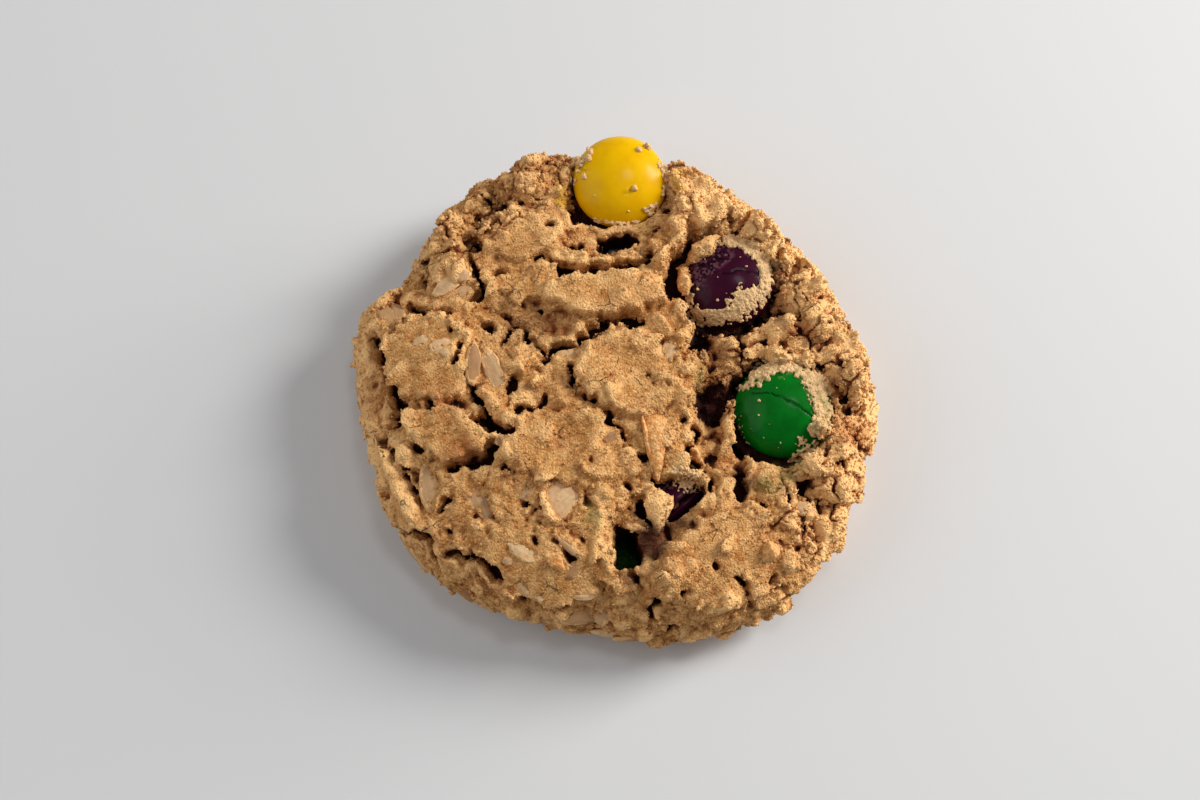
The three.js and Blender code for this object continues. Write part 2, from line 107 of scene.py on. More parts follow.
# Cracks: depth, half width and the bends that each runs through
CRACKS = [
    (3.2, 0.55, [(-23, 22), (-22, 20), (-20.8, 20.6), (-19.4, 19.4), (-20.3, 17.5), (-18.9, 12.6),
                 (-19.6, 10.8)]),
    (2.2, 0.5, [(-20, 24.4), (-18.4, 23.6), (-16.4, 24.6), (-14.4, 26)]),
    (1.5, 0.5, [(-26, 22.6), (-22, 22.6)]),
    (1.6, 0.5, [(-27.3, 16.4), (-27.2, 13.4)]),
    (2.2, 0.55, [(-9.5, 17.8), (-8.5, 16.4), (-7.7, 15.6), (-4.5, 16.2), (1.5, 16.1), (3.7, 16.8),
                 (5.1, 18)]),
    (2.6, 0.5, [(-28.2, 10.1), (-24.8, 9.5), (-23.2, 9.5), (-23, 5.9)]),
    (2.2, 0.5, [(-34, 5.9), (-32.6, 4.9), (-31.6, 1.1), (-31.2, -2.1), (-29.2, -4.1)]),
    (2.6, 0.55, [(-20.6, -0.3), (-19.8, -2.5), (-17.6, -5.1)]),
    (2.6, 0.55, [(-19, -6.1), (-17.6, -5.9), (-16.8, -7.1), (-14, -7.7)]),
    (2.6, 0.6, [(-22.6, -12.7), (-19.8, -12.3), (-18.8, -11.3), (-17, -11.1), (-16.2, -9.7)]),
    (2, 0.5, [(-31.2, -9.1), (-29.6, -10.7), (-29, -12.5), (-28.2, -13.5)]),
    (2, 0.5, [(-29.2, -14.6), (-27.6, -15.8), (-26.2, -17.4)]),
    (2.2, 0.55, [(-28.4, -21.6), (-24.8, -23), (-23.6, -24.2), (-23.6, -26), (-23, -27.8)]),
    (1.8, 0.5, [(-21.8, -24.6), (-19.2, -24.6), (-17.4, -26.4), (-15.4, -28)]),
    (2.2, 0.5, [(-12.7, 6.3), (-10.9, 4.7), (-9.9, 2.9), (-8.7, 4.3), (-5.9, 4.1), (-4.9, 5.7),
                (-2.7, 6.1)]),
    (2, 0.45, [(-3.7, 7.1), (-2.3, 7.7), (-0.9, 8.7), (0.5, 8.1), (3.9, 8.1)]),
    (1.7, 0.4, [(-6.3, 1.3), (-6.1, -0.3), (-5.1, -1.7), (-3.3, -3.7)]),
    (1.2, 0.4, [(-13.5, -4.9), (-11.3, -4.5), (-9.5, -2.7)]),
    (1.3, 0.35, [(-1.5, -5.3), (-1.1, -6.7), (0.3, -7.7), (2.3, -9.7), (4.1, -11.7)]),
    (0.7, 0.3, [(4.1, 0.7), (5.1, -1.1), (6.7, -1.9)]),
    (2.2, 0.5, [(10.3, -7.5), (9.7, -9.9), (10.3, -11.7), (11.5, -12.5)]),
    (0.9, 0.3, [(17.8, -17.4), (18.4, -18.2), (19.6, -18.8)]),
    (0.9, 0.3, [(21.2, -19.4), (22.6, -19.6), (24, -19.4)]),
    (1.7, 0.45, [(24, -21.2), (25.4, -22.2), (26.8, -23)]),
    (1.6, 0.4, [(15, -27.8), (16.4, -28.8), (16.8, -30), (17.6, -31.5)]),
    (0.9, 0.35, [(21, -29), (22, -29.8), (21.8, -31.4)]),
    (1.4, 0.4, [(2.3, -27), (3.1, -28.8)]),
    (2, 0.6, [(5.1, -30.4), (4.5, -32.6), (4.9, -34.2), (6.5, -35)]),
    (1, 0.4, [(-8.7, -23.2), (-5.3, -25)]),
    (2, 0.5, [(30.2, -1.3), (30.4, -4.5), (31, -9)]),
    (1.6, 0.5, [(30, 3.9), (31, 4.7), (32.8, 4.9)]),
    (1.2, 0.4, [(-33.6, -9), (-32.6, -13), (-30.6, -17)]),
    (1.4, 0.4, [(-12, -31), (-9, -32.5), (-6, -31.6)]),
    (1.4, 0.45, [(17, 20.5), (17.6, 24), (16.8, 27)]),
    (1.5, 0.45, [(22, 13), (24.5, 15.5), (25, 18.5)]),
    (1.3, 0.45, [(24.5, 9), (28, 8.6), (31, 9.6)]),
    (1.4, 0.45, [(26, -15.5), (28.5, -12), (31.5, -12.4)]),
]

# Pits: x, y, half length, half width, turn and depth
PITS = [
    (-15.8, 15, 1.1, 0.7, 40, 2), (-21, 19, 0.7, 0.5, 0, 1.4), (-10.7, 17.6, 0.6, 0.5, 0, 1.2),
    (-9.7, 22.4, 0.9, 0.6, 20, 1.2), (-6.1, 20, 0.7, 0.5, 0, 1.2), (4.5, 18.6, 0.7, 0.6, 0, 1.4),
    (-32.5, 4.7, 0.7, 0.5, 0, 1.6), (-30, -6.2, 1.4, 1, 70, 2.4), (-32.6, -6.6, 0.6, 0.5, 0, 1.4),
    (-21.4, 2.9, 1.2, 0.6, 80, 2.2), (-25.6, -4.3, 0.9, 0.7, 0, 1.8), (-17.8, 7.3, 0.9, 0.6, 0, 2.2),
    (-14.9, 6.6, 1, 0.9, 60, 1.6), (-14.5, -1.3, 1.2, 0.6, 60, 1.4), (-14.9, -3.9, 0.9, 0.5, 60, 1.4),
    (-22.2, -12.9, 1, 0.8, 0, 2.2), (-26.6, -10.1, 1, 0.5, -60, 1.6), (-24.4, -11.3, 0.5, 0.5, 0, 1.2),
    (-15, -13.1, 0.9, 0.5, 0, 1.8), (-22.8, -17.6, 1.6, 0.7, 80, 2.6), (-22.6, -21.6, 0.8, 0.5, 0, 1.2),
    (-20.2, -25, 0.9, 0.7, 0, 1.6), (-11.1, 10.1, 0.6, 0.5, 0, 1.2), (4.3, -4.9, 0.5, 0.4, 0, 0.9),
    (8.7, -6.3, 0.8, 0.6, 30, 1.6), (11.3, -12.5, 0.7, 0.6, 0, 1.8), (1.4, -15.4, 0.8, 0.6, 0, 1.6),
    (3.3, -18.8, 0.8, 0.6, 90, 2.4), (-12.2, -17.8, 0.8, 0.4, 20, 1.3), (-10.1, -21.6, 0.6, 0.4, 0, 1.1),
    (-11, -22.6, 0.5, 0.4, 0, 1), (9.1, -29.5, 0.9, 0.5, 30, 1.1), (12.7, -26.8, 0.6, 0.5, 0, 0.8),
    (13, -3.4, 3, 1.8, 85, 2), (12.6, -5, 0.9, 0.8, 0, 1.4), (16.5, -15, 2.5, 0.8, 75, 2.6),
    (11.7, 5.7, 1.7, 1.5, 60, 3.4), (18, 1.6, 0.8, 0.7, 0, 1.4), (26.6, 6.7, 1, 0.9, 0, 2.2),
    (23, 5.5, 0.8, 0.6, 0, 1.4), (25, 8.5, 0.8, 0.6, 0, 1.4), (32.5, -7.2, 2.9, 1.4, 80, 2.8),
    (26.9, -20.5, 1.5, 0.6, 75, 1.6), (28.4, -17, 0.8, 0.6, 30, 1.4), (29.6, -18.2, 0.7, 0.5, 0, 1.4),
    (20.8, -28.2, 0.6, 0.5, 0, 0.9), (16, -13.1, 0.7, 0.5, 0, 1.6), (-9.9, 2.9, 1.3, 1, 0, 2.2),
    (2.1, 7.1, 0.8, 0.6, 0, 1.8), (-17.5, 25.6, 1.8, 0.8, 25, 1.8), (-6.4, 26, 0.9, 0.7, 60, 2.4),
]

# Paler dough, which on the rims is also painted light: x, y, half sizes, turn and strength
PALE_AND_LIT_PLACES = [
    (32, 1, 4.5, 10, 5, 1.3), (31, -9, 4, 5, 0, 1.2), (28, 14, 5, 7, 30, 1.1), (26.5, -16, 4, 4, 0, 0.6),
    (22, 23, 10, 7, -40, 1.6), (12, 28, 6, 5, 0, 1.4), (34, 0, 3, 12, 5, 1.6), (-34.5, 2, 2.6, 8, 0, 0.8),
    (-33, -8, 2.4, 6, 15, 0.8), (-31, -14, 2.6, 8, 30, 0.6), (5.4, -17.6, 2.6, 3.6, 0, 0.9),
    (-24.5, 16, 3, 5, 20, 0.5), (-13, -3, 2.4, 1.4, 35, 0.6), (-9.4, -18, 1.4, 2.6, 0, 0.8),
    (-12, 24, 5, 3, 0, 0.3), (-1.6, -20, 1.4, 4, 0, 0.5), (11, 10.5, 2.5, 3, 0, 0.5),
    (-28.6, -10.6, 2, 3, 25, 0.6), (20, -3, 12, 3, 90, 0.2),
]

# Strips that stand proud: rise, half width and bends
RIDGES = [
    (1.1, 0.8, [(18, -0.2), (20.4, 2.6), (23.2, 3.3), (25.9, 2), (28, -0.6), (29.2, -4)]),
    (1, 0.8, [(28.9, -9), (27, -12), (24.5, -13.2)]),
    (1.2, 0.9, [(22.3, 13), (22.2, 17), (20.2, 20.4), (17, 21.8)]),
    (1, 0.9, [(5.7, 16.5), (7.6, 20), (9, 24)]),
    (1, 0.8, [(8, 24.2), (8.4, 28), (7.8, 32)]),
    (0.8, 0.9, [(-7.6, 31), (-7, 34)]),
    (0.9, 0.9, [(-2, -19.5), (-2.4, -23), (-1.2, -27)]),
    (0.7, 0.7, [(-27.5, -19), (-31, -12), (-33.5, -5)]),
    (0.8, 0.8, [(-5, 18.2), (-2, 18), (2.2, 18.3)]),
]

CANDY_RADIUS = 6.7
CANDY_HALF_THICKNESS = 3.55

# Candies: middle, direction of the flat side, and where the dough begins round each, as distances
# from the candy's seen middle at even steps round it; "drop" is how far the dough sinks there,
# "cracks" are lines in the shell, painted dark as shade, "scuffs" are dull dusty places, one of them a
# painted sheen: x, y, half sizes, turn and strength, and "shade" is painted shade that darkens the
# whole shell of a candy deep in the dough
EDGE_STEP = 45
CANDIES = {
    "yellow_candy": {
        "at": (0.4, 29.8, 13.5), "faces": (0, -0.16, 1), "seen": (0.4, 29.2),
        "edge": (6.7, 7.2, 9.5, 6.6, 7, 7.9, 6.5, 7), "drop": 3.6, "cracks": [],
        "dust_and_sheen_spots": [(-5, 31.6, 1.2, 2, 0, 0.3), (2, 27.6, 0.9, 1, 0, 0.3)],
    },
    "dark_candy": {
        "at": (15.4, 15, 12), "faces": (-0.12, -0.06, 1), "seen": (15.2, 13.8),
        "edge": (6.8, 6.9, 7.2, 8.4, 8.9, 7.4, 7.6, 8), "drop": 4,
        "cracks": [[(14.6, 15.1), (16, 15.3), (16.8, 15.75), (17.8, 15.6), (18.6, 15.3), (19.8, 15)]],
        "dust_and_sheen_spots": [
            # The third spot, at the upper right, is a painted sheen; the others are dusty rough places
            (13.2, 17, 3.4, 2, 40, 1), (11.2, 14.8, 1.4, 2.2, 0, 0.9), (18.6, 18, 1.5, 0.8, -40, 0.45),
        ],
    },
    "green_candy": {
        "at": (22.8, -4, 12.5), "faces": (-0.06, -0.12, 1), "seen": (22.4, -4.8),
        "edge": (6.6, 6.7, 7.4, 8, 7.6, 7.8, 7.8, 6.9), "drop": 4,
        "cracks": [[(18.3, -2.3), (20.4, -2.3), (22, -2.8), (24, -3.8), (25.6, -4.9), (26.6, -5.8)]],
        "dust_and_sheen_spots": [(26.6, -2.5, 1.2, 4, 15, 0.7), (22, 1.2, 4, 0.8, 5, 0.5)],
    },
    "violet_candy": {
        "at": (6.6, -14.7, 7.5), "faces": (-0.58, 0.64, 0.5), "seen": (8.8, -17.6),
        "edge": (1.7, 3.6, 4.2, 4.4, 1.8, 3.6, 1.6, 1.2), "drop": 2.8, "cracks": [],
        "dust_and_sheen_spots": [(7, -14.6, 1.6, 2, 0, 1), (10.5, -14.8, 1.2, 1, 0, 0.8)],
    },
    "deep_green_candy": {
        "at": (-1.8, -26, 6), "faces": (0.1, 0.05, 1), "seen": (1.2, -24),
        "edge": (2.4, 2.6, 2.9, 2.4, 2.2, 2.2, 2.9, 2.6), "drop": 6.4, "cracks": [],
        "dust_and_sheen_spots": [(1, -24, 3, 3, 0, 0.6)], "shade": 0.8,
    },
    "slot_candy": {
        "at": (-1.5, 22, 5.8), "faces": (0, -0.05, 1), "seen": (0.4, 20),
        "edge": (3.1, 1.5, 1.1, 1.5, 3.1, 1.5, 1.1, 1.5), "drop": 5.4, "cracks": [],
        "dust_and_sheen_spots": [(0, 20, 3, 2, 0, 0.5)], "shade": 0.6,
    },
}

# The broken candy's two half shells stand apart along its edge by this gap
SPLIT_CANDY = "violet_candy"
SPLIT_HALF_GAP = 0.32
SPLIT_DEPTH = 1.5

# Depth of the other cracks in a shell
SHELL_CRACK_DEPTH = 0.12

# The candies of each shell colour
SHELLS = {
    "yellow": ("yellow_candy",),
    "green": ("green_candy", "deep_green_candy"),
    "violet": ("dark_candy", "violet_candy", "slot_candy"),
}

# Black gaps beside the candies: depth, half width and bends
GAPS = [
    (4.6, 0.55, [(12.6, 20.8), (10.8, 21), (9.7, 20.2), (9.2, 18.6), (8, 17), (7.7, 16)]),
    (4.6, 0.9, [(6.9, 15.2), (7.4, 13.6), (8.6, 12.4), (9.4, 12)]),
    (4.6, 0.6, [(17, 8), (18.5, 8.7), (20, 9.4), (20.7, 11)]),
    (4.8, 0.9, [(11, 8), (11.8, 6.4), (11.9, 5.4)]),
    (4.6, 0.6, [(17, -0.6), (18.2, 0.6), (19.4, 2.4), (20.4, 3.4)]),
    (4.6, 0.6, [(15.4, -4.6), (15.9, -7), (16.4, -9.6), (17.6, -10.8)]),
    (4.2, 0.45, [(19.6, -11.8), (21.6, -12.4), (23.2, -12.4)]),
    (3.6, 0.6, [(-7.2, 26.8), (-6.6, 25.4), (-5.8, 23.8)]),
    (3.4, 0.6, [(7.2, 27), (7.2, 25)]),
    (2.8, 0.6, [(22.4, 18), (23, 15.6), (22, 13.6)]),
    (4, 0.4, [(4.6, -14.2), (6, -15), (8, -15.8)]),
    (4, 0.6, [(3.2, -18), (3.6, -19.2), (4.3, -20)]),
    (3.6, 0.35, [(12.3, -14.8), (12, -16.2)]),
]

# Strands and chunks of dough: half widths, half heights and a path of x, y and z, x and y as seen
DOUGH_BITS = [
    ([0.8, 1.4, 2.4, 1.7, 1, 0.9, 0.9], [0.6, 0.7, 0.8, 0.8, 0.8, 0.8, 0.7],
     [(3.6, -14.6, 13.6), (4.4, -16, 14.2), (5.7, -17.6, 14.5), (5.5, -19, 14.4), (5.3, -20.3, 14.2),
      (5.4, -21.4, 14.1), (5.5, -22.6, 13.9)]),
    ([0.9, 1, 1.4, 1.3, 0.9, 0.5], [1, 1, 1.1, 1.1, 0.9, 0.6],
     [(9.8, 16.4, 9.4), (10.3, 17, 13.4), (11.4, 18.4, 15), (12.8, 19.6, 15), (14.2, 20.2, 14.8),
      (15.4, 20.8, 14.4)]),
    ([0.8, 0.9, 1.1, 0.9, 0.4], [0.9, 1, 1, 0.9, 0.5],
     [(9.6, 15.8, 9.4), (9.2, 15.6, 13.2), (9.3, 14.2, 14.5), (9.5, 12.8, 14.4), (9.9, 11.6, 13.8)]),
    ([1.2, 1, 0.85, 0.8], [1, 0.9, 0.9, 0.8],
     [(7.6, 11.2, 15), (8.4, 10.4, 15.4), (8.8, 9.2, 15.6), (8.9, 8.2, 15.4)]),
    ([0.5, 0.6, 0.5], [0.7, 0.8, 0.6], [(0.4, -20.9, 14.4), (2.3, -21.1, 14.6), (4.4, -21.5, 14.2)]),
    ([0.4, 0.6, 0.6, 0.4], [0.6, 0.7, 0.7, 0.5],
     [(-9.8, -15.9, 15.8), (-9.7, -18, 16), (-8.5, -20.1, 15.9), (-6.2, -20.5, 15.6)]),
    ([0.9, 1.1, 0.8], [1, 1.1, 0.8], [(27.4, -5.9, 15), (27.9, -7.6, 15.2), (27.2, -9, 14.8)]),
    ([0.6, 1, 1.1, 1, 0.6], [0.8, 1, 1.1, 1, 0.8],
     [(-29.5, 13, 12), (-31.6, 12.2, 12.2), (-32.9, 11, 12.2), (-33.8, 9, 12), (-34.2, 7, 11.6)]),
    ([0.5, 0.7, 0.5], [0.6, 0.7, 0.5], [(-3.4, -31.6, 14), (-1.6, -31.1, 14), (-0.8, -32.8, 13.2)]),
    ([0.8, 1, 0.8], [0.8, 1, 0.8], [(15.7, -3, 14.6), (14.9, -7, 14.8), (15.6, -10, 14.8)]),
    ([1, 1.3, 0.9], [0.7, 0.8, 0.6], [(6.4, -27.4, 16), (7.8, -26.8, 16.2), (9, -26.4, 16)]),
    ([0.6, 0.9, 0.5], [0.6, 0.8, 0.5], [(-14.2, -4.3, 15.6), (-12.6, -3, 15.8), (-11, -1.7, 15.4)]),
    ([1, 1.5, 1.4, 0.7], [1, 1.3, 1.3, 0.7],
     [(-7.9, 26.8, 13.6), (-8, 29.2, 13.8), (-7.5, 31.8, 13.4), (-6, 33.8, 12.6)]),
    ([1, 1.4, 1.3, 0.7], [1, 1.3, 1.2, 0.7],
     [(8, 26.4, 13.6), (8.1, 28.8, 13.8), (7.7, 31.4, 13.4), (6.4, 33.4, 12.6)]),
    ([0.9, 1.1, 1.1, 1, 0.7], [0.9, 1, 1, 1, 0.7],
     [(-19.4, -2.2, 15.8), (-18.3, -2.1, 16.2), (-17, -3.4, 16.3), (-16.1, -4.9, 16),
      (-15.6, -6.1, 15.4)]),
]

# Toasted bits: the pointed flake and its bright edge, the nut-like nub and a flake with a browned end;
# half widths, half heights and a path of x, y and height over the dough
TOASTED_BITS = [
    ([2.6, 2.3, 1.8, 1.4, 1.1, 0.9, 0.5], [0.5, 0.6, 0.6, 0.6, 0.5, 0.4, 0.3],
     [(5.8, -3.4, -1.3), (5.5, -5, -0.6), (5.3, -6.6, 0), (5.3, -8.4, 0.3), (5.3, -11, 0.5),
      (5.4, -13.2, 0.6), (5.5, -14.9, 0.7)]),
    ([0.3, 0.35, 0.3, 0.25], [0.5, 0.6, 0.5, 0.3],
     [(3.3, -4.8, 0), (3.9, -8.2, 0.5), (4.4, -11, 0.6), (4.8, -13.6, 0.6)]),
    ([1, 1.35, 1], [0.9, 1.2, 0.9], [(19.2, -24.5, 0.3), (20.3, -24.2, 0.5), (21.5, -23.9, 0.3)]),
    ([0.7, 1, 0.7], [0.4, 0.5, 0.5], [(-9.6, -24.2, 0.1), (-8.1, -25.6, 0.3), (-6.9, -27, 0.2)]),
]
# No toasted bit lies lower than this in the dough
LOWEST_BIT = 13.6

# The dough under each rolled oat that shows is this much lower, so that its edge is buried
OAT_BED = 0.4

# Rolled oats: x, y, half length, half width, turn, paleness and how far each stands proud
OATS = [
    (-31.6, 8.6, 3.2, 1, -63, 0.35, 0.1), (-30.2, 9.2, 2.3, 0.8, -62, 0.45, 0.15),
    (-26.8, 5, 1.3, 0.9, 10, 0.9, 0.05), (-24.2, 4.6, 1.5, 0.9, 20, 0.95, 0.05),
    (-23.4, 3.5, 0.8, 0.6, 0, 0.9, 0.05), (-19.7, 1.8, 2.7, 0.95, 88, 0.1, 0.45),
    (-16.9, 0.8, 3, 1.05, -72, 0.6, 0.6), (-15.2, -9.1, 1.2, 0.8, -15, 0.15, 0.1),
    (-24.9, -15.8, 2.9, 1.3, -80, 0.45, 0.3), (-18.4, -17.3, 2.7, 1.15, -62, 0.5, 0.2),
    (-7.4, -17.4, 2.9, 2.1, 62, 1, 0.35), (-12.4, -24.4, 2.1, 0.9, -30, 1, 0.35),
    (-14.3, -25.6, 0.7, 0.5, 20, 0.7, 0.2), (-5.7, -26.8, 1.3, 0.8, 40, 0.2, 0.2),
    (-12.3, -29.4, 1.2, 0.5, -52, 0.95, 0.15), (-10.2, -30.4, 0.8, 0.5, 0, 1, 0.15),
    (-5.2, -33, 2.5, 1, 4, 0.3, 0.15), (-2, -32.9, 1.2, 1, 60, 0.6, 0.2),
    (-20.2, -30.2, 1.5, 0.8, -30, 0.1, 0.1), (-7.1, 3.1, 1.6, 0.75, 5, 0.9, 0.15),
    (-1, -8.8, 1.1, 1, 0, 0.1, 0.1), (24.9, -18.4, 1.1, 0.9, 0, 0.8, 0.1),
    (-23.6, 13.3, 2.1, 0.85, 32, 0.95, 0.4), (-21.4, 14.8, 1, 0.8, 40, 0.6, 0.2),
    (-21.2, 12.4, 1.1, 0.9, 0, 0.45, 0.1), (-26.7, 18.3, 0.8, 0.5, 70, 0.95, 0.2),
    (-6.5, -23.7, 1.8, 0.4, -42, 0.5, 0.3), (-12.2, -16.4, 1.2, 0.9, 0, 0.6, 0.05),
    (7.2, 3, 2.6, 1.2, 80, 0.8, 0.05), (-4.4, -30.4, 1.2, 0.4, 0, 1, 0.2),
]

# Crumbs baked onto the candies and their edges: half width, blob sizes, blobs per square millimetre
# and bends
CRUSTS = [
    (1.2, 0.2, 0.42, 11, [(9.8, 9.6), (12.2, 8.4), (14.8, 8.7), (17, 9.4), (18.9, 10.8), (20.3, 12.6)]),
    (0.9, 0.18, 0.38, 10, [(15.8, 10.4), (17.4, 11.9), (19.2, 12)]),
    (0.35, 0.15, 0.3, 10, [(16.9, 12.6), (17.3, 13.7)]),
    (0.8, 0.25, 0.5, 13, [(15, 20.2), (17.4, 19.8), (19, 18.8), (20.1, 17.4), (20.7, 16), (20.8, 14.2),
                          (20.3, 12.6)]),
    (0.3, 0.2, 0.35, 10, [(13.6, 19.7), (14.6, 19.8), (15.8, 19.8)]),
    (0.45, 0.15, 0.35, 9, [(10.4, 12.4), (10, 11), (9.8, 10)]),
    (0.5, 0.15, 0.3, 4, [(10.6, 17.2), (11.6, 18.4), (13, 19.3)]),
    (1.1, 0.22, 0.5, 12, [(18.3, -0.8), (19.4, 0.6), (21.2, 1.5), (23, 1.8), (24.8, 1.5), (26.3, 0.4),
                          (27.3, -1)]),
    (1.2, 0.2, 0.45, 12, [(27.3, -1), (27.9, -2.8), (28, -5), (27.6, -7)]),
    (0.9, 0.1, 0.22, 7, [(25.9, 0.2), (26.6, -2), (27, -4)]),
    (0.45, 0.25, 0.45, 10, [(16.5, -2), (17.7, -1.3)]),
    (0.8, 0.3, 0.6, 7, [(26.9, -6.5), (26.7, -8.2)]),
    (0.5, 0.2, 0.4, 8, [(24.5, -9.6), (25.5, -8.9)]),
    (0.6, 0.2, 0.45, 9, [(23.4, -12), (24.6, -11.2), (26.4, -10.2), (27.6, -9)]),
    (0.35, 0.1, 0.2, 6, [(16.4, -5.6), (16.9, -8), (18, -9.8)]),
    (0.9, 0.3, 0.6, 6, [(-5.8, 31.2), (-5.4, 32.6), (-4.4, 33.6)]),
    (0.45, 0.15, 0.35, 6, [(-6.2, 30.4), (-6.3, 28.6)]),
    (0.55, 0.22, 0.45, 9, [(6.1, 32.2), (6.8, 30.6), (7, 28.8), (6.8, 26.8)]),
    (0.6, 0.22, 0.45, 8, [(4, 24.5), (5.6, 25.3)]),
    (0.3, 0.18, 0.4, 8, [(-3.4, 23.5), (-1, 22.8), (1.4, 22.7), (3, 23.2)]),
    (1.5, 0.15, 0.34, 12, [(8.6, -14.2), (10.8, -14)]),
    (0.7, 0.12, 0.26, 12, [(7.6, -15.2), (9.4, -15.8), (10.8, -15.6)]),
    (0.5, 0.1, 0.2, 8, [(6.4, -13.8), (7, -14.8)]),
]

# Single crumbs on the candies: x, y and size
CANDY_CRUMBS = [
    (18, 16.2, 0.2), (14, 14.6, 0.15), (11.2, 12.8, 0.24), (13.9, 11.2, 0.25), (10.3, 12.2, 0.16),
    (12.2, 17.3, 0.15), (-4.7, 30, 0.5), (2.4, 28.2, 0.5), (3.1, 34.1, 0.42), (4.2, 34.6, 0.6),
    (1.6, 24.6, 0.2), (-3.2, 27, 0.2), (19.3, -3.4, 0.22), (19.2, -5.5, 0.18), (21.7, -1.6, 0.16),
    (19.8, -8.7, 0.14), (22, -9.4, 0.16), (17.5, -9.3, 0.18), (25.2, -1, 0.18), (25.9, -2.6, 0.2),
    (24.6, 0.2, 0.18), (21.7, -10.1, 0.12), (24.4, -8.6, 0.18), (20.6, -6.8, 0.12), (18.1, -7.4, 0.12),
    (22.8, -0.4, 0.14), (15.2, 12.2, 0.12), (17.2, 17.6, 0.14),
]

# Toasted, dimmed and stained patches of dough, the dimmed ones painted shade
# and the maroon ones partly painted shade: x, y, half sizes, turn and strength
PATCHES = {
    "toast": [
        (22.6, 12.6, 1.4, 4.6, 10, 0.7), (25.8, 6.4, 3.6, 1.3, -25, 0.8), (29.8, -2, 1.1, 4, 0, 0.6),
        (-20.4, -10.1, 2.6, 2.2, 0, 0.9), (-18.8, -2.4, 0.5, 0.5, 0, 0.9),
        (-17.6, -3.2, 2.4, 1.4, -45, 0.35),
        (-24, -3, 4, 3, 0, 0.35), (2, 11.5, 6, 3, 0, 0.3), (31.5, -8, 2.4, 3, 80, 0.8),
        (17, 20.2, 1.6, 0.8, 0, 0.8), (-33, -3, 2, 6, 0, 0.4),
    ],
    "dim": [
        (-11, 7.2, 6.5, 3, -6, 0.4), (14, 2.5, 4, 5, 0, 0.3), (13, 10, 2, 4, 0, 0.2),
        (2, -20.8, 3, 1, 0, 0.25),
    ],
    # Dark maroon round the pits, gaps and holes: painted shade there
    "maroon": [
        (23.2, 8.4, 1.2, 1.6, 0, 0.45), (27.6, 5.4, 1.6, 0.7, -20, 0.4), (13, -3.6, 2.8, 3.6, 0, 0.55),
        (12.7, -5, 1, 1, 0, 0.9), (16.5, -15, 1.2, 2.8, 0, 0.95), (4.4, -23, 2.2, 3.4, 0, 0.9),
        (7.2, -21.4, 3, 1.4, 20, 0.75), (1.8, -28, 1.6, 1, 0, 0.6), (22.2, 15.5, 0.9, 2.6, 0, 0.7),
        (13.5, 7, 3, 1, 0, 0.5), (14.5, -13.4, 1.6, 0.9, 0, 0.5),
    ],
    "green": [
        (19.7, -15.4, 1.9, 1.5, 20, 0.55), (22.6, -13.9, 1.2, 1.1, 0, 0.5), (11.2, 0, 1, 2.6, 0, 0.35),
        (-3.4, -20, 2.2, 2.4, 0, 0.4), (23.5, -12.6, 2.4, 0.7, 0, 0.4),
    ],
    "yellow": [(-7.9, 26.6, 1, 2.2, 10, 0.75), (8.9, 29, 0.9, 1.6, 0, 0.7), (3.2, 22, 2, 0.7, 0, 0.3)],
}

# Stains on the crumbs near a candy: the candy, the stain and its strength
CRUST_STAINS = (("green_candy", "green", 0.55), ("dark_candy", "maroon", 0.12))

# Sizes of noise on the dough with their seeds and strengths
BROAD_WAVES = ((9, 3, 0.6), (5.5, 47, 0.35))

# Torn edges: the size of each layer of noise, and how far it shifts them
TORN_LAYERS = ((3.6, 0.8), (1.4, 0.55), (0.7, 0.3))
TORN_SEEDS = (5, 9)

# Clumps of crumbly dough: size, seed, share of the size that is round, height, the least and the
# varying part of it, how far their middle height is lowered, and strength and width of the creases
CLUMPS = (
    (5.4, 27, 0.8, 1.5, 0, 1, 0.4, 1, 0.13),
    (2.9, 21, 0.85, 1.2, 0.4, 0.8, 0.6, 0.5, 0.16),
)

# Creases between the clumps: size, width, strength and seed
CREASES = ((4.6, 0.11, 1, 27), (2.5, 0.1, 0.3, 64))
CREASE_START = 0.02

# The block that each sugar grain is made from, in grain sizes
BLOCK_SIZE = 1.2

# Crumbs baked onto the candies: their smallest form in metres, and what scales their number and size
CRUST_VOXEL = 0.00012
CRUST_FILL = 1.7
CRUST_SIZE = 0.75

# Seeds of the random draws
NODULE_SEED = 17
BURIED_SEED = 61
CRUMB_SEED = 23
GRAIN_SEED = 29
OAT_SEED = 41
CRUST_SEED = 77

# The dough's surface at a place is averaged with its neighbours this far away
SPREAD = 0.8

# The first seed of the noise on each oat, strand and bit, and the step to the next
SIDE_OAT_NOISE = 60
BURIED_OAT_NOISE = 90
STRAND_NOISE = 50
TOASTED_NOISE = 150
STRAND_NOISE_STEP = 5

# Sizes and seeds of the chips in the dough's crumb and of the broad ones that only its tone follows
CHIP_SIZE = 1.2
CHIP_SEED = 150
BROAD_CHIP_SIZE = 3.4
BROAD_CHIP_SEED = 152

# Sugar grains in the finish of dough, oats and toasted bits
SUGAR_SIZE = 0.32

# The stage: the floor's width, and each light's place, size and colour, in metres
FLOOR_SIZE = 4
LIGHTS = {
    "key": ((0.58, 0.26, 0.44), 0.3, (1.0, 0.96, 0.9)),
    "fill": ((-0.6, -0.05, 0.45), 0.8, (1.0, 0.98, 0.95)),
    "edge": ((0.7, 0.25, 0.17), 0.3, (1.0, 0.94, 0.86)),
    "window": ((0.13, 0.12, 0.75), 0.16, (0.97, 0.98, 1.0)),
}
ROOM_COLOUR = (1, 0.96, 0.91, 1)
ROOM_STRENGTH = 0.2

# The camera looks at the target from a distance in millimetres, tilted by degrees from straight down
TARGET = (0, -2.5, FACE_HEIGHT)
CAMERA_TILT = 18
CAMERA_DISTANCE = 226.7
CAMERA_LENS = 50
CAMERA_SENSOR = 36
CAMERA_SHIFT = (-17 / 1200, -6 / 1200)

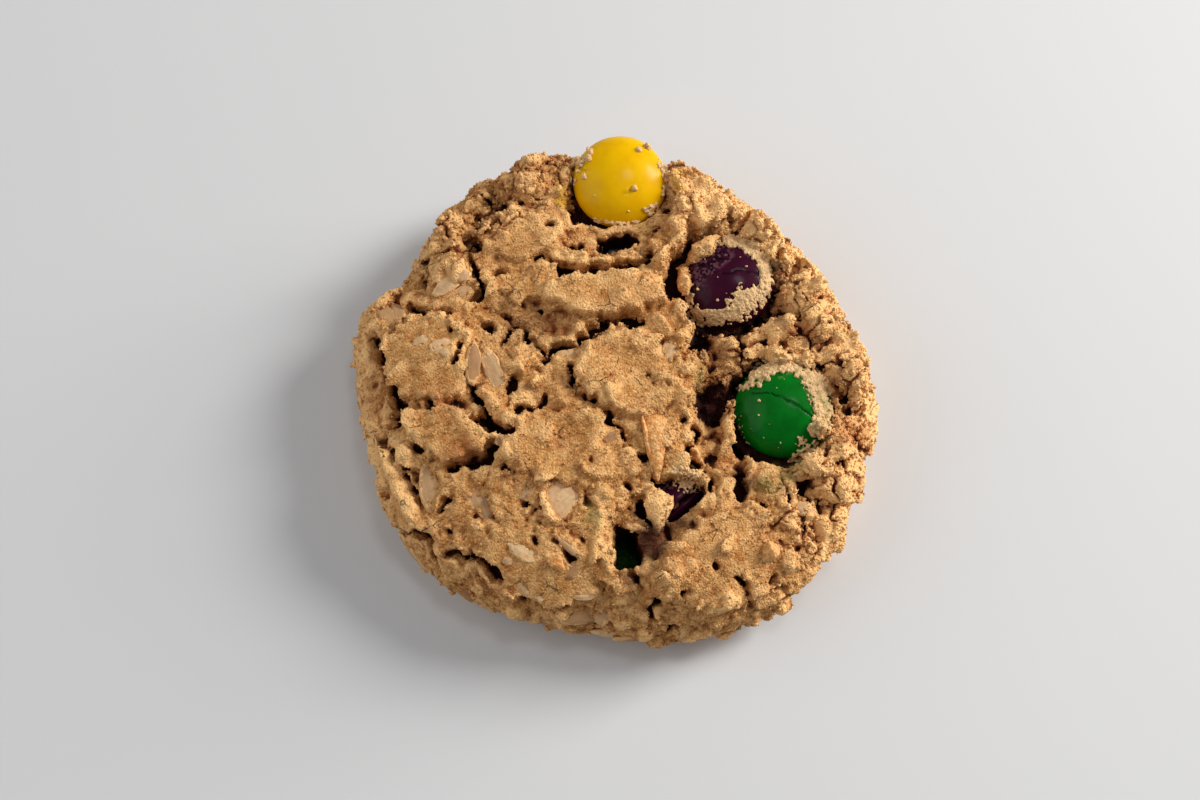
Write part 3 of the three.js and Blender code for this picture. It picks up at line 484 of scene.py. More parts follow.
# Multipliers and shifts that scramble whole numbers
HASH_AXES = (374761393, 668265263, 3266489917)
HASH_SEED = (974711, 12345)
HASH_ROUNDS = ((13, 1274126177), (15, 2246822519))
HASH_LAST_SHIFT = 16
WHOLE_RANGE = 2**32


# Random numbers and noise


def hashed(cells, seed):
    """Random numbers from 0 to 1 for whole-numbered cells, the same in every run."""
    mixed = np.uint32((seed * HASH_SEED[0] + HASH_SEED[1]) % WHOLE_RANGE)
    for axis, factor in enumerate(HASH_AXES):
        mixed = mixed + cells[..., axis].astype(np.int64).astype(np.uint32) * np.uint32(factor)
    for shift, factor in HASH_ROUNDS:
        mixed = (mixed ^ (mixed >> np.uint32(shift))) * np.uint32(factor)
    mixed = mixed ^ (mixed >> np.uint32(HASH_LAST_SHIFT))
    return mixed.astype(np.float64) / (WHOLE_RANGE - 1)


def cloud(points, size, seed):
    """Smooth noise from -1 to 1 whose lumps are about size across."""
    scaled = points / size
    cell = np.floor(scaled)
    inside = scaled - cell
    blend = inside * inside * inside * (inside * (inside * 6 - 15) + 10)
    total = np.zeros(len(points))
    for corner in np.ndindex(2, 2, 2):
        at = cell + corner
        away = inside - corner
        weight = np.prod(np.where(corner, blend, 1 - blend), axis=1)
        slope = sum((2 * hashed(at, seed + 7 * k) - 1) * away[:, k] for k in range(3))
        total += weight * slope
    return 1.7 * total


def clouds(points, size, seed, layers=3):
    """Several layers of smooth noise, each half the size and strength of the one before."""
    return sum(cloud(points, size / 2**k, seed + 31 * k) / 2**k for k in range(layers))


def drift(points, size, seeds, layers=1):
    """Smooth noise of its own along each direction, one direction for each seed."""
    return np.stack([clouds(points, size, seed, layers) for seed in seeds], axis=1)


def billows(points, size, seed, layers=4, gain=0.55):
    """Rounded lumps with sharp creases between them, as torn dough has, from 0 to about 1."""
    total, strength, weight = np.zeros(len(points)), 1.0, 0.0
    for k in range(layers):
        total += strength * np.abs(cloud(points, size / 2**k, seed + 13 * k))
        weight += strength
        strength *= gain
    return 1.8 * total / weight


def nearest_cells(points, size, seed):
    """Distances to the two nearest grain middles in sizes, the nearest's cell and the way to it."""
    scaled = points / size
    cell = np.floor(scaled)
    first = np.full(len(points), 9.0)
    second = np.full(len(points), 9.0)
    chosen = cell.copy()
    away = np.zeros_like(points)
    for shift in np.ndindex(3, 3, 3):
        at = cell + shift - 1
        offset = scaled - at - np.stack([hashed(at, seed + 3 * k) for k in range(3)], axis=1)
        distance = np.linalg.norm(offset, axis=1)
        nearer = distance < first
        second = np.where(nearer, first, np.minimum(second, distance))
        first = np.where(nearer, distance, first)
        chosen = np.where(nearer[:, None], at, chosen)
        away = np.where(nearer[:, None], offset, away)
    return first, second, chosen, away


def grains(points, size, seed):
    """The distances to the two nearest grain middles as shares of size, and a number for the grain."""
    first, second, chosen, _ = nearest_cells(points, size, seed)
    return first, second, hashed(chosen, seed + 17)


def chips(points, size, seed):
    """Angular chips tilted every way with small steps between, about -1 to 1, and a number for each."""
    _, _, chosen, away = nearest_cells(points, size, seed)
    number = hashed(chosen, seed + 17)
    tilt = sum((2 * hashed(chosen, seed + 40 + k) - 1) * away[:, k] for k in range(3))
    return 1.4 * tilt + 0.8 * (number - 0.5), number


def smoothstep(value, low, high):
    """0 below low, 1 above high, smooth between."""
    share = np.clip((value - low) / (high - low), 0, 1)
    return share * share * (3 - 2 * share)


# The cookie's form


def rim_radius(angle):
    """The smooth ring's radius at angles, through RIM_RADII less the nodules."""
    radii = np.array(RIM_RADII)
    turns = np.mod(angle / (2 * math.pi) * len(radii), len(radii))
    index = np.floor(turns).astype(int) % len(radii)
    between = turns - np.floor(turns)
    near = [radii[(index + k) % len(radii)] for k in (-1, 0, 1, 2)]
    slope_here = (near[2] - near[0]) / 2
    slope_next = (near[3] - near[1]) / 2
    change = near[2] - near[1]
    bend = 3 * change - 2 * slope_here - slope_next + between * (slope_here + slope_next - 2 * change)
    return near[1] - NODULE_LIFT + between * (slope_here + between * bend)


def side_view():
    """The side view from the face's middle to the base's middle: share, height, inset, surface used."""
    face = 1 - (1 - np.linspace(0, 1, FACE_STEPS)) ** 2
    drop = np.sqrt(1 - face**SHOULDER_POWER)
    fall = np.linspace(0, 1, SIDE_STEPS)[1:]
    share = np.concatenate([face, np.ones(len(fall)), [0]])
    height = np.concatenate([RIM_HEIGHT + (TOP_HEIGHT - RIM_HEIGHT) * drop, RIM_HEIGHT * (1 - fall), [0]])
    inset = np.concatenate([np.zeros(len(face)), BASE_INSET * fall**BASE_POWER, [0]])
    radius = share * np.mean(RIM_RADII) - inset
    length = np.hypot(np.diff(radius), np.diff(height)) * (radius[1:] + radius[:-1])
    length[-1] *= BASE_SHARE
    return share, height, inset, np.concatenate([[0], np.cumsum(length)])


def smooth_points(directions):
    """Points of the smooth cookie for directions of a sphere, with their outward directions."""
    share, height, inset, used = side_view()
    target = (1 - directions[:, 2]) / 2 * used[-1]
    angle = np.arctan2(directions[:, 1], directions[:, 0])
    ring = rim_radius(angle)
    radius = np.interp(target, used, share) * ring - np.interp(target, used, inset)
    index = np.clip(np.searchsorted(used, target), 1, len(used) - 1)
    run = (share[index] - share[index - 1]) * ring - (inset[index] - inset[index - 1])
    fall = height[index] - height[index - 1]
    length = np.hypot(run, fall)
    around = np.stack([np.cos(angle), np.sin(angle)], axis=1)
    points = np.column_stack([around * radius[:, None], np.interp(target, used, height)])
    outward = np.column_stack([around * (-fall / length)[:, None], run / length])
    return points, outward


def place_on_face(points):
    """Where points show on the level plane of the face, seen from the eye point."""
    reach = ((EYE[2] - FACE_HEIGHT) / (EYE[2] - points[:, 2]))[:, None]
    return EYE[:2] + (points[:, :2] - EYE[:2]) * reach


def real_point(x, y, z):
    """The point at height z that shows at a place on the face."""
    reach = (EYE[2] - z) / (EYE[2] - FACE_HEIGHT)
    return np.array([EYE[0] + (x - EYE[0]) * reach, EYE[1] + (y - EYE[1]) * reach, z])


def unit(vectors):
    """Vectors of length 1 with the same directions."""
    return vectors / np.linalg.norm(vectors, axis=1)[:, None]


def strand(directions, half_widths, half_heights, path, seed, rough=0.4):
    """A rough rounded strand along a path, made from the directions of a ball."""
    bends = np.array([real_point(*bend) for bend in path])
    run = unit(np.gradient(bends, axis=0))
    side = unit(np.cross((0, 0, 1), run))
    up = np.cross(run, side)
    along = np.clip(directions[:, 0], -1, 1)
    at = (0.5 + np.arcsin(along) / math.pi) * (len(bends) - 1)
    ring = (1 - along**2) ** 0.3
    around = directions[:, 1:] / np.maximum(np.linalg.norm(directions[:, 1:], axis=1), 1e-9)[:, None]

    def blend(values):
        columns = np.atleast_2d(values.T)
        return np.stack([np.interp(at, range(len(bends)), column) for column in columns], axis=1)

    width = blend(np.array(half_widths)) * (ring * around[:, 0])[:, None]
    height = blend(np.array(half_heights)) * (ring * around[:, 1])[:, None]
    points = blend(bends) + blend(side) * width + blend(up) * height
    return points + rough * drift(points, 1.5, range(seed, seed + 3), 3)


def share_of(places, x, y, half_x, half_y, turn):
    """Distance from a feature's middle as a share of its half sizes."""
    turned = math.radians(turn)
    dx, dy = places[:, 0] - x, places[:, 1] - y
    along = (dx * math.cos(turned) + dy * math.sin(turned)) / half_x
    across = (dy * math.cos(turned) - dx * math.sin(turned)) / half_y
    return np.hypot(along, across)


def over_spots(places, spots, full, end):
    """The strongest of some spots at each place: whole within a share of their size, none past another."""
    total = np.zeros(len(places))
    for *spot, strength in spots:
        total = np.maximum(total, strength * (1 - smoothstep(share_of(places, *spot), full, end)))
    return total


def distance_to_path(places, path):
    """Distance from each place to a bent line."""
    return beside_path(places, path)[0]


def beside_path(places, path):
    """Distance from each place to a bent line, and the offset from the line."""
    nearest = np.full(len(places), 1e9)
    offset = np.zeros_like(places)
    for start, end in zip(np.array(path[:-1], float), np.array(path[1:], float)):
        run = end - start
        share = np.clip((places - start) @ run / (run @ run), 0, 1)
        away = places - start - share[:, None] * run
        distance = np.linalg.norm(away, axis=1)
        nearer = distance < nearest
        nearest = np.where(nearer, distance, nearest)
        offset = np.where(nearer[:, None], away, offset)
    return nearest, offset


def warped(places, points, strength=1.0):
    """Places shifted by noise, so that the edges of features are as jagged as torn dough."""
    shift = np.zeros_like(places)
    for size, reach in TORN_LAYERS:
        shift += reach * drift(points, size, TORN_SEEDS)
    return places + strength * shift


def crumbly(places):
    """How crumbly the dough is at a place: 0 on the smooth plates, 1 on the popcorn rim."""
    radius = np.hypot(places[:, 0], places[:, 1])
    angle = np.degrees(np.arctan2(places[:, 1], places[:, 0]))
    right = smoothstep(angle, -55, -35) * (1 - smoothstep(angle, 75, 95))
    rim = smoothstep(radius, 24, 29) * right
    upper_left = smoothstep(angle, 95, 105) * (1 - smoothstep(angle, 140, 160)) * smoothstep(radius, 25, 30)
    pocket = 1 - smoothstep(share_of(places, 19, 6, 11, 17, 0), 0.7, 1.1)
    left_rim = 0.15 * smoothstep(radius, 31, 34)
    return np.clip(np.maximum.reduce([rim, upper_left, 0.75 * pocket, left_rim]), 0, 1)


def calm(places):
    """How smooth the dough is at a place: 1 on the plates that stand up from the face, 0 between them."""
    plates = [(*lump[:5], 1) for lump in LUMPS if lump[5] > 0 and lump[2] * lump[3] > PLATE_AREA]
    return over_spots(places, plates, 0.75, 1) * (1 - crumbly(places))


def clear_of_openings(places, reach):
    """1 at places further than a reach from every crack, gap and pit, and 0 at their edges."""
    total = np.ones(len(places))
    for _, half, path in CRACKS + GAPS:
        total = np.minimum(total, smoothstep(distance_to_path(places, path) - half, 0.3 * reach, reach))
    for x, y, half_x, half_y, turn, _ in PITS:
        distance = (share_of(places, x, y, half_x, half_y, turn) - 1) * min(half_x, half_y)
        total = np.minimum(total, smoothstep(distance, 0.3 * reach, reach))
    return total


def openings(points, places):
    """Cracks, gaps and pits: depth of the cut, height of the lip beside it, and nearness from 0 to 1."""
    cut, lip, near = (np.zeros(len(points)) for _ in range(3))
    open_width = np.maximum(1.05 + 0.9 * clouds(points, 3.2, 44, 2), 0.35)
    for depth, half, path in CRACKS:
        distance, offset = beside_path(places, path)
        cut = np.maximum(cut, OVERCUT * depth * (1 - smoothstep(distance / half / open_width, 0.8, 1.25)))
        lit_side = smoothstep(offset @ LIT_SIDE, -0.2, 0.4)
        lip = np.maximum(lip, LIP_SHARE * depth * lit_side * np.exp(-distance / LIP_REACH))
        near = np.maximum(near, 1 - smoothstep(distance / half, 1, 3))
    for depth, half, path in GAPS:
        cut = np.maximum(cut, depth * (1 - smoothstep(distance_to_path(places, path) / half, 0.8, 1.4)))
    ragged = places + 0.7 * drift(points, 1.3, (15, 16), 2)
    for *pit, depth in PITS:
        distance = share_of(ragged, *pit)
        cut = np.maximum(cut, OVERCUT * depth * (1 - smoothstep(distance, 0.75, 1.3)))
        near = np.maximum(near, 1 - smoothstep(distance, 1, 2))
    return cut, np.minimum(lip, MOST_LIP), near


def relief(points, outward):
    """How far the real surface stands out from the smooth one, without the sockets of the candies."""
    on_base = smoothstep(points[:, 2], 0, 0.6)
    view = EYE - points
    facing = np.sum(outward * view, axis=1) / np.linalg.norm(view, axis=1)
    seen = smoothstep(facing, 0.05, 0.4)
    flat_places = place_on_face(points)
    places = warped(flat_places, points)
    loose = crumbly(flat_places) * seen + 0.25 * (1 - seen)
    broken = 1 - 0.8 * calm(places)
    rise = sum(strength * cloud(points, size, seed) for size, seed, strength in BROAD_WAVES)
    upward = seen * (0.25 + 0.75 * smoothstep(outward[:, 2], 0.05, 0.6))
    for *lump, height in LUMPS:
        rise += upward * height * (1 - smoothstep(share_of(places, *lump), 0.86, 1.08))
    for height, half, path in RIDGES:
        rise += upward * height * np.exp(-((distance_to_path(places, path) / half) ** 2))
    for x, y, half_length, half_width, turn, _, _ in OATS:
        bed = share_of(places, x, y, 0.95 * half_length, 0.9 * half_width, turn)
        rise -= seen * OAT_BED * (1 - smoothstep(bed, 0.7, 1.1))
    cut, lip, near_opening = openings(points, places)
    rise += seen * lip
    loose = np.maximum(loose, 0.16 * near_opening * seen)
    bent = points + 0.5 * drift(points, 2.2, (61, 62, 63))
    for size, seed, round_share, height, least, varying, lowered, crease, width in CLUMPS:
        near, far, number = grains(bent, size, seed)
        dome = np.sqrt(np.clip(1 - (near / round_share) ** 2, 0, 1))
        rise += loose * (height * dome * (least + varying * number) - lowered)
        rise -= loose * crease * CREASE_DEPTH * (1 - smoothstep(far - near, CREASE_START, width))
    rise += (0.16 * broken + 0.4 * loose) * (billows(bent, 3.4, 71, 4, 0.5) - 0.4)
    rise += (0.28 * broken + 0.2 * loose) * chips(bent, 2.6, 140)[0]
    near, far, _ = grains(bent, 4.6, 33)
    split = (1 - smoothstep(far - near, 0.02, 0.13)) * smoothstep(cloud(points, 5, 88), -0.05, 0.25)
    rise -= 0.8 * split * broken
    near, _, number = grains(bent, 1.7, 54)
    pocked = (1 - smoothstep(near, 0.1, 0.3)) * smoothstep(cloud(points, 6, 31), -0.25, 0.1)
    rise -= 1.1 * broken * (number > 0.93) * pocked
    tucked = (1 - smoothstep(outward[:, 2], 0.2, 0.8)) * smoothstep(points[:, 2], 1.5, 5)
    rise -= SIDE_TUCK * crumbly(flat_places) * tucked
    return (rise - seen * cut) * on_base


def creases(points):
    """The creases between the clumps of loose dough: 1 in the middle of a crease, 0 on the clumps."""
    bent = points + 0.45 * drift(points, 1.8, (71, 72, 73), 2)
    total = np.zeros(len(points))
    for size, width, strength, seed in CREASES:
        near, far, _ = grains(bent, size, seed)
        total = np.maximum(total, strength * (1 - smoothstep(far - near, CREASE_START, width)))
    return total * smoothstep(cloud(points, 5, 68), -0.5, 0.1)


def held_in(points):
    """Points with the lumps that reach past the smooth outline pressed back to it."""
    radius = np.maximum(np.hypot(points[:, 0], points[:, 1]), 1)
    lifted = np.clip((points[:, 2] - RIM_HEIGHT) / (TOP_HEIGHT - RIM_HEIGHT), 0, 1)
    share = np.maximum((1 - lifted**2) ** (1 / SHOULDER_POWER), LEAST_SHOULDER)
    limit = share * rim_radius(np.arctan2(points[:, 1], points[:, 0])) + NODULE_LIFT
    held = limit + OUTLINE_SPILL * np.tanh(np.maximum(radius - limit, 0) / OUTLINE_SPILL)
    return np.column_stack([points[:, :2] * (np.minimum(radius, held) / radius)[:, None], points[:, 2]])


def base_pits(points):
    """How far the flat base is drawn up in its shallow pits and seams."""
    level = 1 - smoothstep(points[:, 2], 0, 1.2)
    pits = smoothstep(cloud(points, 3.4, 83), 0.25, 0.7)
    pits = pits + 0.5 * smoothstep(cloud(points, 1.5, 84), 0.45, 0.8)
    seams = 1 - smoothstep(np.abs(cloud(points, 8, 85)), 0.01, 0.07)
    return level * (0.4 * pits + 0.22 * seams * smoothstep(cloud(points, 6, 86), -0.1, 0.4))


def candy_top(points, candy):
    """Height of the candy's upper surface over points, its middle height outside its outline."""
    axis = np.array(candy["faces"], float)
    axis /= np.linalg.norm(axis)
    a, c = CANDY_RADIUS, CANDY_HALF_THICKNESS
    shape = (np.eye(3) - np.outer(axis, axis)) / a**2 + np.outer(axis, axis) / c**2
    offset = points[:, :2] - np.array(candy["at"][:2])
    slope = offset @ shape[:2, 2]
    rest = np.einsum("ij,jk,ik->i", offset, shape[:2, :2], offset) - 1
    under = slope**2 - shape[2, 2] * rest
    height = (-slope + np.sqrt(np.maximum(under, 0))) / shape[2, 2]
    return candy["at"][2] + np.where(under > 0, height, 0)


def opened(points):
    """Sinks the dough where the candies and the holes down to them show."""
    points = points.copy()
    flat_places = place_on_face(points)
    clean, ragged = (warped(flat_places, points, strength) for strength in (0.6, 1.4))
    upper = smoothstep(points[:, 2], 7, 9)
    for candy in CANDIES.values():
        offset = (ragged if "shade" in candy else clean) - np.array(candy["seen"])
        angle = np.degrees(np.arctan2(offset[:, 1], offset[:, 0]))
        steps = np.arange(0, 361, EDGE_STEP)
        edge = np.interp(np.mod(angle, 360), steps, list(candy["edge"]) + [candy["edge"][0]])
        inside = (1 - smoothstep(np.linalg.norm(offset, axis=1) - edge, -0.3, 0.35)) * upper
        floor = np.minimum(candy_top(points, candy) - 0.7, FACE_HEIGHT - candy["drop"])
        floor = np.maximum(floor, 2.0) + 0.3 * cloud(points, 1.6, 77)
        points[:, 2] += inside * (np.minimum(points[:, 2], floor) - points[:, 2])
    return points


# Meshes


def select_only(*objects):
    """Only these objects are selected, the first of them active."""
    bpy.ops.object.select_all(action="DESELECT")
    for obj in objects:
        obj.select_set(True)
    bpy.context.view_layer.objects.active = objects[0]


def begin():
    """Everything is deselected before a primitive is added, and object mode is on."""
    if bpy.context.object and bpy.context.object.mode != "OBJECT":
        bpy.ops.object.mode_set(mode="OBJECT")
    bpy.ops.object.select_all(action="DESELECT")


def new_ball(name, subdivisions):
    """A ball of triangles of this name and the directions of its points."""
    begin()
    bpy.ops.mesh.primitive_ico_sphere_add(subdivisions=subdivisions, radius=1)
    ball = bpy.context.object
    ball.name = name
    ball.data.name = name
    return ball, unit(points_of(ball) * MM)


def taken_apart(obj):
    """Corners and faces of a primitive, which is removed again."""
    corners = points_of(obj) * MM
    faces = np.array([p.vertices[:] for p in obj.data.polygons])
    bpy.data.objects.remove(obj, do_unlink=True)
    return corners, faces


def blob_shape(subdivisions):
    """Directions and triangles of a ball."""
    ball, directions = new_ball("blob", subdivisions)
    return directions, taken_apart(ball)[1]


def block_shape():
    """Corners and faces of a block."""
    begin()
    bpy.ops.mesh.primitive_cube_add(size=BLOCK_SIZE)
    return taken_apart(bpy.context.object)


def values_of(items, name, width, kind=np.float64):
    """One property of all vertices, edges or values of an attribute, a row for each."""
    flat = np.empty(len(items) * width, dtype=kind)
    items.foreach_get(name, flat)
    return flat.reshape(-1, width)


def points_of(obj):
    """The vertices in millimetres."""
    return values_of(obj.data.vertices, "co", 3) / MM


def set_points(obj, points):
    """Moves the vertices to points in millimetres."""
    obj.data.vertices.foreach_set("co", (points * MM).ravel())
    obj.data.update()


def normals_of(obj):
    """The outward direction at each vertex."""
    return values_of(obj.data.vertices, "normal", 3)


def edges_of(obj):
    """The two vertices of each edge."""
    return values_of(obj.data.edges, "vertices", 2, np.int32)


def relaxed(points, edges, rounds):
    """Points pulled towards the average of their neighbours, several times."""
    count = np.bincount(edges.ravel(), minlength=len(points))[:, None]
    for _ in range(rounds):
        total = np.empty_like(points)
        for k in range(3):
            total[:, k] = np.bincount(edges[:, 0], points[edges[:, 1], k], len(points))
            total[:, k] += np.bincount(edges[:, 1], points[edges[:, 0], k], len(points))
        points = 0.4 * points + 0.6 * total / np.maximum(count, 1)
    return points


def apply_modifier(obj, kind, name, **settings):
    """Adds a modifier with its settings and applies it."""
    select_only(obj)
    modifier = obj.modifiers.new(name, kind)
    for key, value in settings.items():
        setattr(modifier, key, value)
    bpy.ops.object.modifier_apply(modifier=modifier.name)


def made_one(obj, voxel):
    """A skin of small faces round everything in a mesh, as its points and normals."""
    apply_modifier(obj, "REMESH", "crumb", mode="VOXEL", voxel_size=voxel, use_smooth_shade=True)
    return points_of(obj), normals_of(obj)


def thinned(obj, faces):
    """The mesh with about this many triangles."""
    count = sum(len(p.vertices) - 2 for p in obj.data.polygons)
    apply_modifier(obj, "DECIMATE", "thin", ratio=min(1, faces / count))


def keep_largest(obj):
    """Removes every loose scrap of a mesh, so that only its largest part stays."""
    edges = edges_of(obj)
    label = np.arange(len(obj.data.vertices))
    settled = False
    while not settled:
        ends = label[edges]
        joined_label = label.copy()
        for side in (0, 1):
            np.minimum.at(joined_label, ends[:, side], ends.min(axis=1))
        joined_label = joined_label[joined_label]
        settled = (joined_label == label).all()
        label = joined_label
    largest = np.bincount(label).argmax()
    select_only(obj)
    bpy.ops.object.mode_set(mode="EDIT")
    bpy.ops.mesh.select_all(action="DESELECT")
    bpy.ops.object.mode_set(mode="OBJECT")
    obj.data.vertices.foreach_set("select", label != largest)
    bpy.ops.object.mode_set(mode="EDIT")
    bpy.ops.mesh.select_mode(type="VERT")
    bpy.ops.mesh.delete(type="VERT")
    bpy.ops.object.mode_set(mode="OBJECT")


def mesh_object(name, points, faces):
    """A mesh object from arrays in millimetres."""
    mesh = bpy.data.meshes.new(name)
    mesh.vertices.add(len(points))
    mesh.vertices.foreach_set("co", (np.asarray(points) * MM).ravel())
    faces = np.asarray(faces)
    mesh.loops.add(faces.size)
    mesh.loops.foreach_set("vertex_index", faces.ravel())
    mesh.polygons.add(len(faces))
    mesh.polygons.foreach_set("loop_start", np.arange(0, faces.size, faces.shape[1]))
    mesh.update(calc_edges=True)
    mesh.validate()
    obj = bpy.data.objects.new(name, mesh)
    bpy.context.scene.collection.objects.link(obj)
    return obj


def attribute_of(obj, name):
    """The values stored under a name, one for each vertex."""
    return values_of(obj.data.attributes[name].data, "value", 1, np.float32)[:, 0]


def set_attribute(obj, name, values):
    """Stores a value for each vertex under a name."""
    layer = obj.data.attributes.new(name, "FLOAT", "POINT")
    layer.data.foreach_set("value", np.asarray(values, dtype=np.float32))


def finish_piece(obj, material, slot, *replaced):
    """Gives a piece its material and body, and hides the nodes that it stands in for; the slot is not used.
    """
    obj.data.materials.clear()
    obj.data.materials.append(material)
    select_only(obj)
    bpy.ops.object.shade_smooth()
    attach(obj, BODY)
    if replaced:
        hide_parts(*replaced)


def surface_tree(obj):
    """An object's surface for rays to be cast at."""
    return BVHTree.FromObject(obj, bpy.context.evaluated_depsgraph_get())


def surface_at_place(tree, place):
    """The dough's surface at a place on the face: point and averaged outward direction, in millimetres."""
    points, total, eye = [], Vector(), Vector(EYE)
    for dx, dy in ((0, 0), (SPREAD, 0), (-SPREAD, 0), (0, SPREAD), (0, -SPREAD)):
        target = Vector((place[0] + dx, place[1] + dy, FACE_HEIGHT))
        point, normal, _, _ = tree.ray_cast(eye * MM, (target - eye).normalized())
        if point is None:
            continue
        points.append(point / MM)
        total += normal
    if not points:
        raise RuntimeError(f"no dough at {place}")
    height = sum(p.z for p in points) / len(points)
    middle = points[0].copy()
    middle.z = 0.5 * (middle.z + height)
    return middle, total.normalized()


# Materials


class Value:
    """A shader socket that can be used in Python expressions."""

    def __init__(self, tree, socket):
        self.tree = tree
        self.socket = socket

    def _math(self, operation, *values):
        """The result of an operation on values or numbers, as a new node."""
        node = self.tree.nodes.new("ShaderNodeMath")
        node.operation = operation
        for target, value in zip(node.inputs, values):
            if isinstance(value, Value):
                self.tree.links.new(value.socket, target)
            else:
                target.default_value = value
        return Value(self.tree, node.outputs[0])

    def __add__(self, other):
        return self._math("ADD", self, other)

    __radd__ = __add__

    def __mul__(self, other):
        return self._math("MULTIPLY", self, other)

    __rmul__ = __mul__

    def __sub__(self, other):
        return self._math("SUBTRACT", self, other)

    def __rsub__(self, other):
        return self._math("SUBTRACT", other, self)

    def clamped(self):
        """No less than 0 and no more than 1."""
        return self._math("MINIMUM", self._math("MAXIMUM", self, 0.0), 1.0)

    def between(self, low, high):
        """0 below low, 1 above high, smooth between."""
        node = self.tree.nodes.new("ShaderNodeMapRange")
        node.interpolation_type = "SMOOTHSTEP"
        self.tree.links.new(self.socket, node.inputs["Value"])
        node.inputs["From Min"].default_value = low
        node.inputs["From Max"].default_value = high
        return Value(self.tree, node.outputs["Result"])


class Finish:
    """A material under construction."""

    def __init__(self, name, **constants):
        self.material = bpy.data.materials.new(name)
        self.material.use_nodes = True
        self.tree = self.material.node_tree
        self.shader = self.tree.nodes["Principled BSDF"]
        for key, value in constants.items():
            self.shader.inputs[key.replace("_", " ")].default_value = value
        self.place = self.node("ShaderNodeTexCoord").outputs["Object"]

    def node(self, kind, settings=None, **sockets):
        """A node of a kind, its settings first, then the values or links of its sockets."""
        made = self.tree.nodes.new(kind)
        for key, value in (settings or {}).items():
            setattr(made, key, value)
        for key, value in sockets.items():
            self.set(made.inputs[key.replace("_", " ")], value)
        return made

    def set(self, socket, value):
        """Links a value or another node's socket to a socket, or sets it to a number or colour."""
        if isinstance(value, Value):
            self.tree.links.new(value.socket, socket)
        elif isinstance(value, bpy.types.NodeSocket):
            self.tree.links.new(value, socket)
        else:
            socket.default_value = value

    def value(self, socket):
        """A socket as a value for expressions."""
        return Value(self.tree, socket)

    def attribute(self, name):
        """What is stored under a name for each vertex."""
        node = self.node("ShaderNodeAttribute", {"attribute_name": name})
        return self.value(node.outputs["Fac"])

    def noise(self, size, detail=2.0, roughness=0.5):
        """Noise from 0 to 1 with lumps of a size in millimetres."""
        sockets = {"Vector": self.place, "Scale": 1 / (size * MM), "Detail": detail, "Roughness": roughness}
        return self.value(self.node("ShaderNodeTexNoise", **sockets).outputs["Fac"])

    def splits(self, size, bend):
        """Distance to the nearest line of a net of splits, in units of size, the net bent by noise."""
        noise = self.node("ShaderNodeTexNoise", Vector=self.place, Scale=1 / (size * MM), Detail=3.0)
        shift = self.node("ShaderNodeVectorMath", {"operation": "SCALE"}, Scale=bend * MM)
        self.set(shift.inputs[0], noise.outputs["Color"])
        moved = self.node("ShaderNodeVectorMath", {"operation": "ADD"})
        self.set(moved.inputs[0], self.place)
        self.set(moved.inputs[1], shift.outputs[0])
        settings = {"feature": "DISTANCE_TO_EDGE"}
        node = self.node("ShaderNodeTexVoronoi", settings, Vector=moved.outputs[0], Scale=1 / (size * MM))
        return self.value(node.outputs["Distance"])

    def cells(self, size):
        """A random number for each grain of a size in millimetres, and the distance to its middle."""
        node = self.node("ShaderNodeTexVoronoi", Vector=self.place, Scale=1 / (size * MM))
        split = self.node("ShaderNodeSeparateColor", Color=node.outputs["Color"])
        return self.value(split.outputs[0]), self.value(node.outputs["Distance"])

    def painted(self, colour, *layers):
        """A colour with layers over it, each a share and a colour."""
        for share, over in layers:
            node = self.node("ShaderNodeMix", {"data_type": "RGBA"})
            factor, low, high = (node.inputs[k] for k in (0, 6, 7))
            self.set(factor, share)
            self.set(low, colour if isinstance(colour, bpy.types.NodeSocket) else (*colour, 1.0))
            self.set(high, (*over, 1.0))
            colour = node.outputs[2]
        return colour

    def bump(self, height, distance, strength=1.0, normal=None):
        """Fine relief of a height in millimetres, over another one if it is given."""
        node = self.node("ShaderNodeBump", Height=height, Distance=distance * MM, Strength=strength)
        if normal is not None:
            self.tree.links.new(normal, node.inputs["Normal"])
        return node.outputs["Normal"]

    def done(self, colour, roughness=None, normal=None):
        """The material with what varies over its surface linked to its shader."""
        for key, value in (("Base Color", colour), ("Roughness", roughness), ("Normal", normal)):
            if value is not None:
                self.set(self.shader.inputs[key], value)
        return self.material


def linear(*rgb):
    """A colour read from 0 to 255 as Blender's linear values."""
    shares = np.array(rgb) / 255
    curve = ((shares + 0.055) / 1.055) ** 2.4
    return tuple(np.where(shares <= 0.04045, shares / 12.92, curve).tolist())


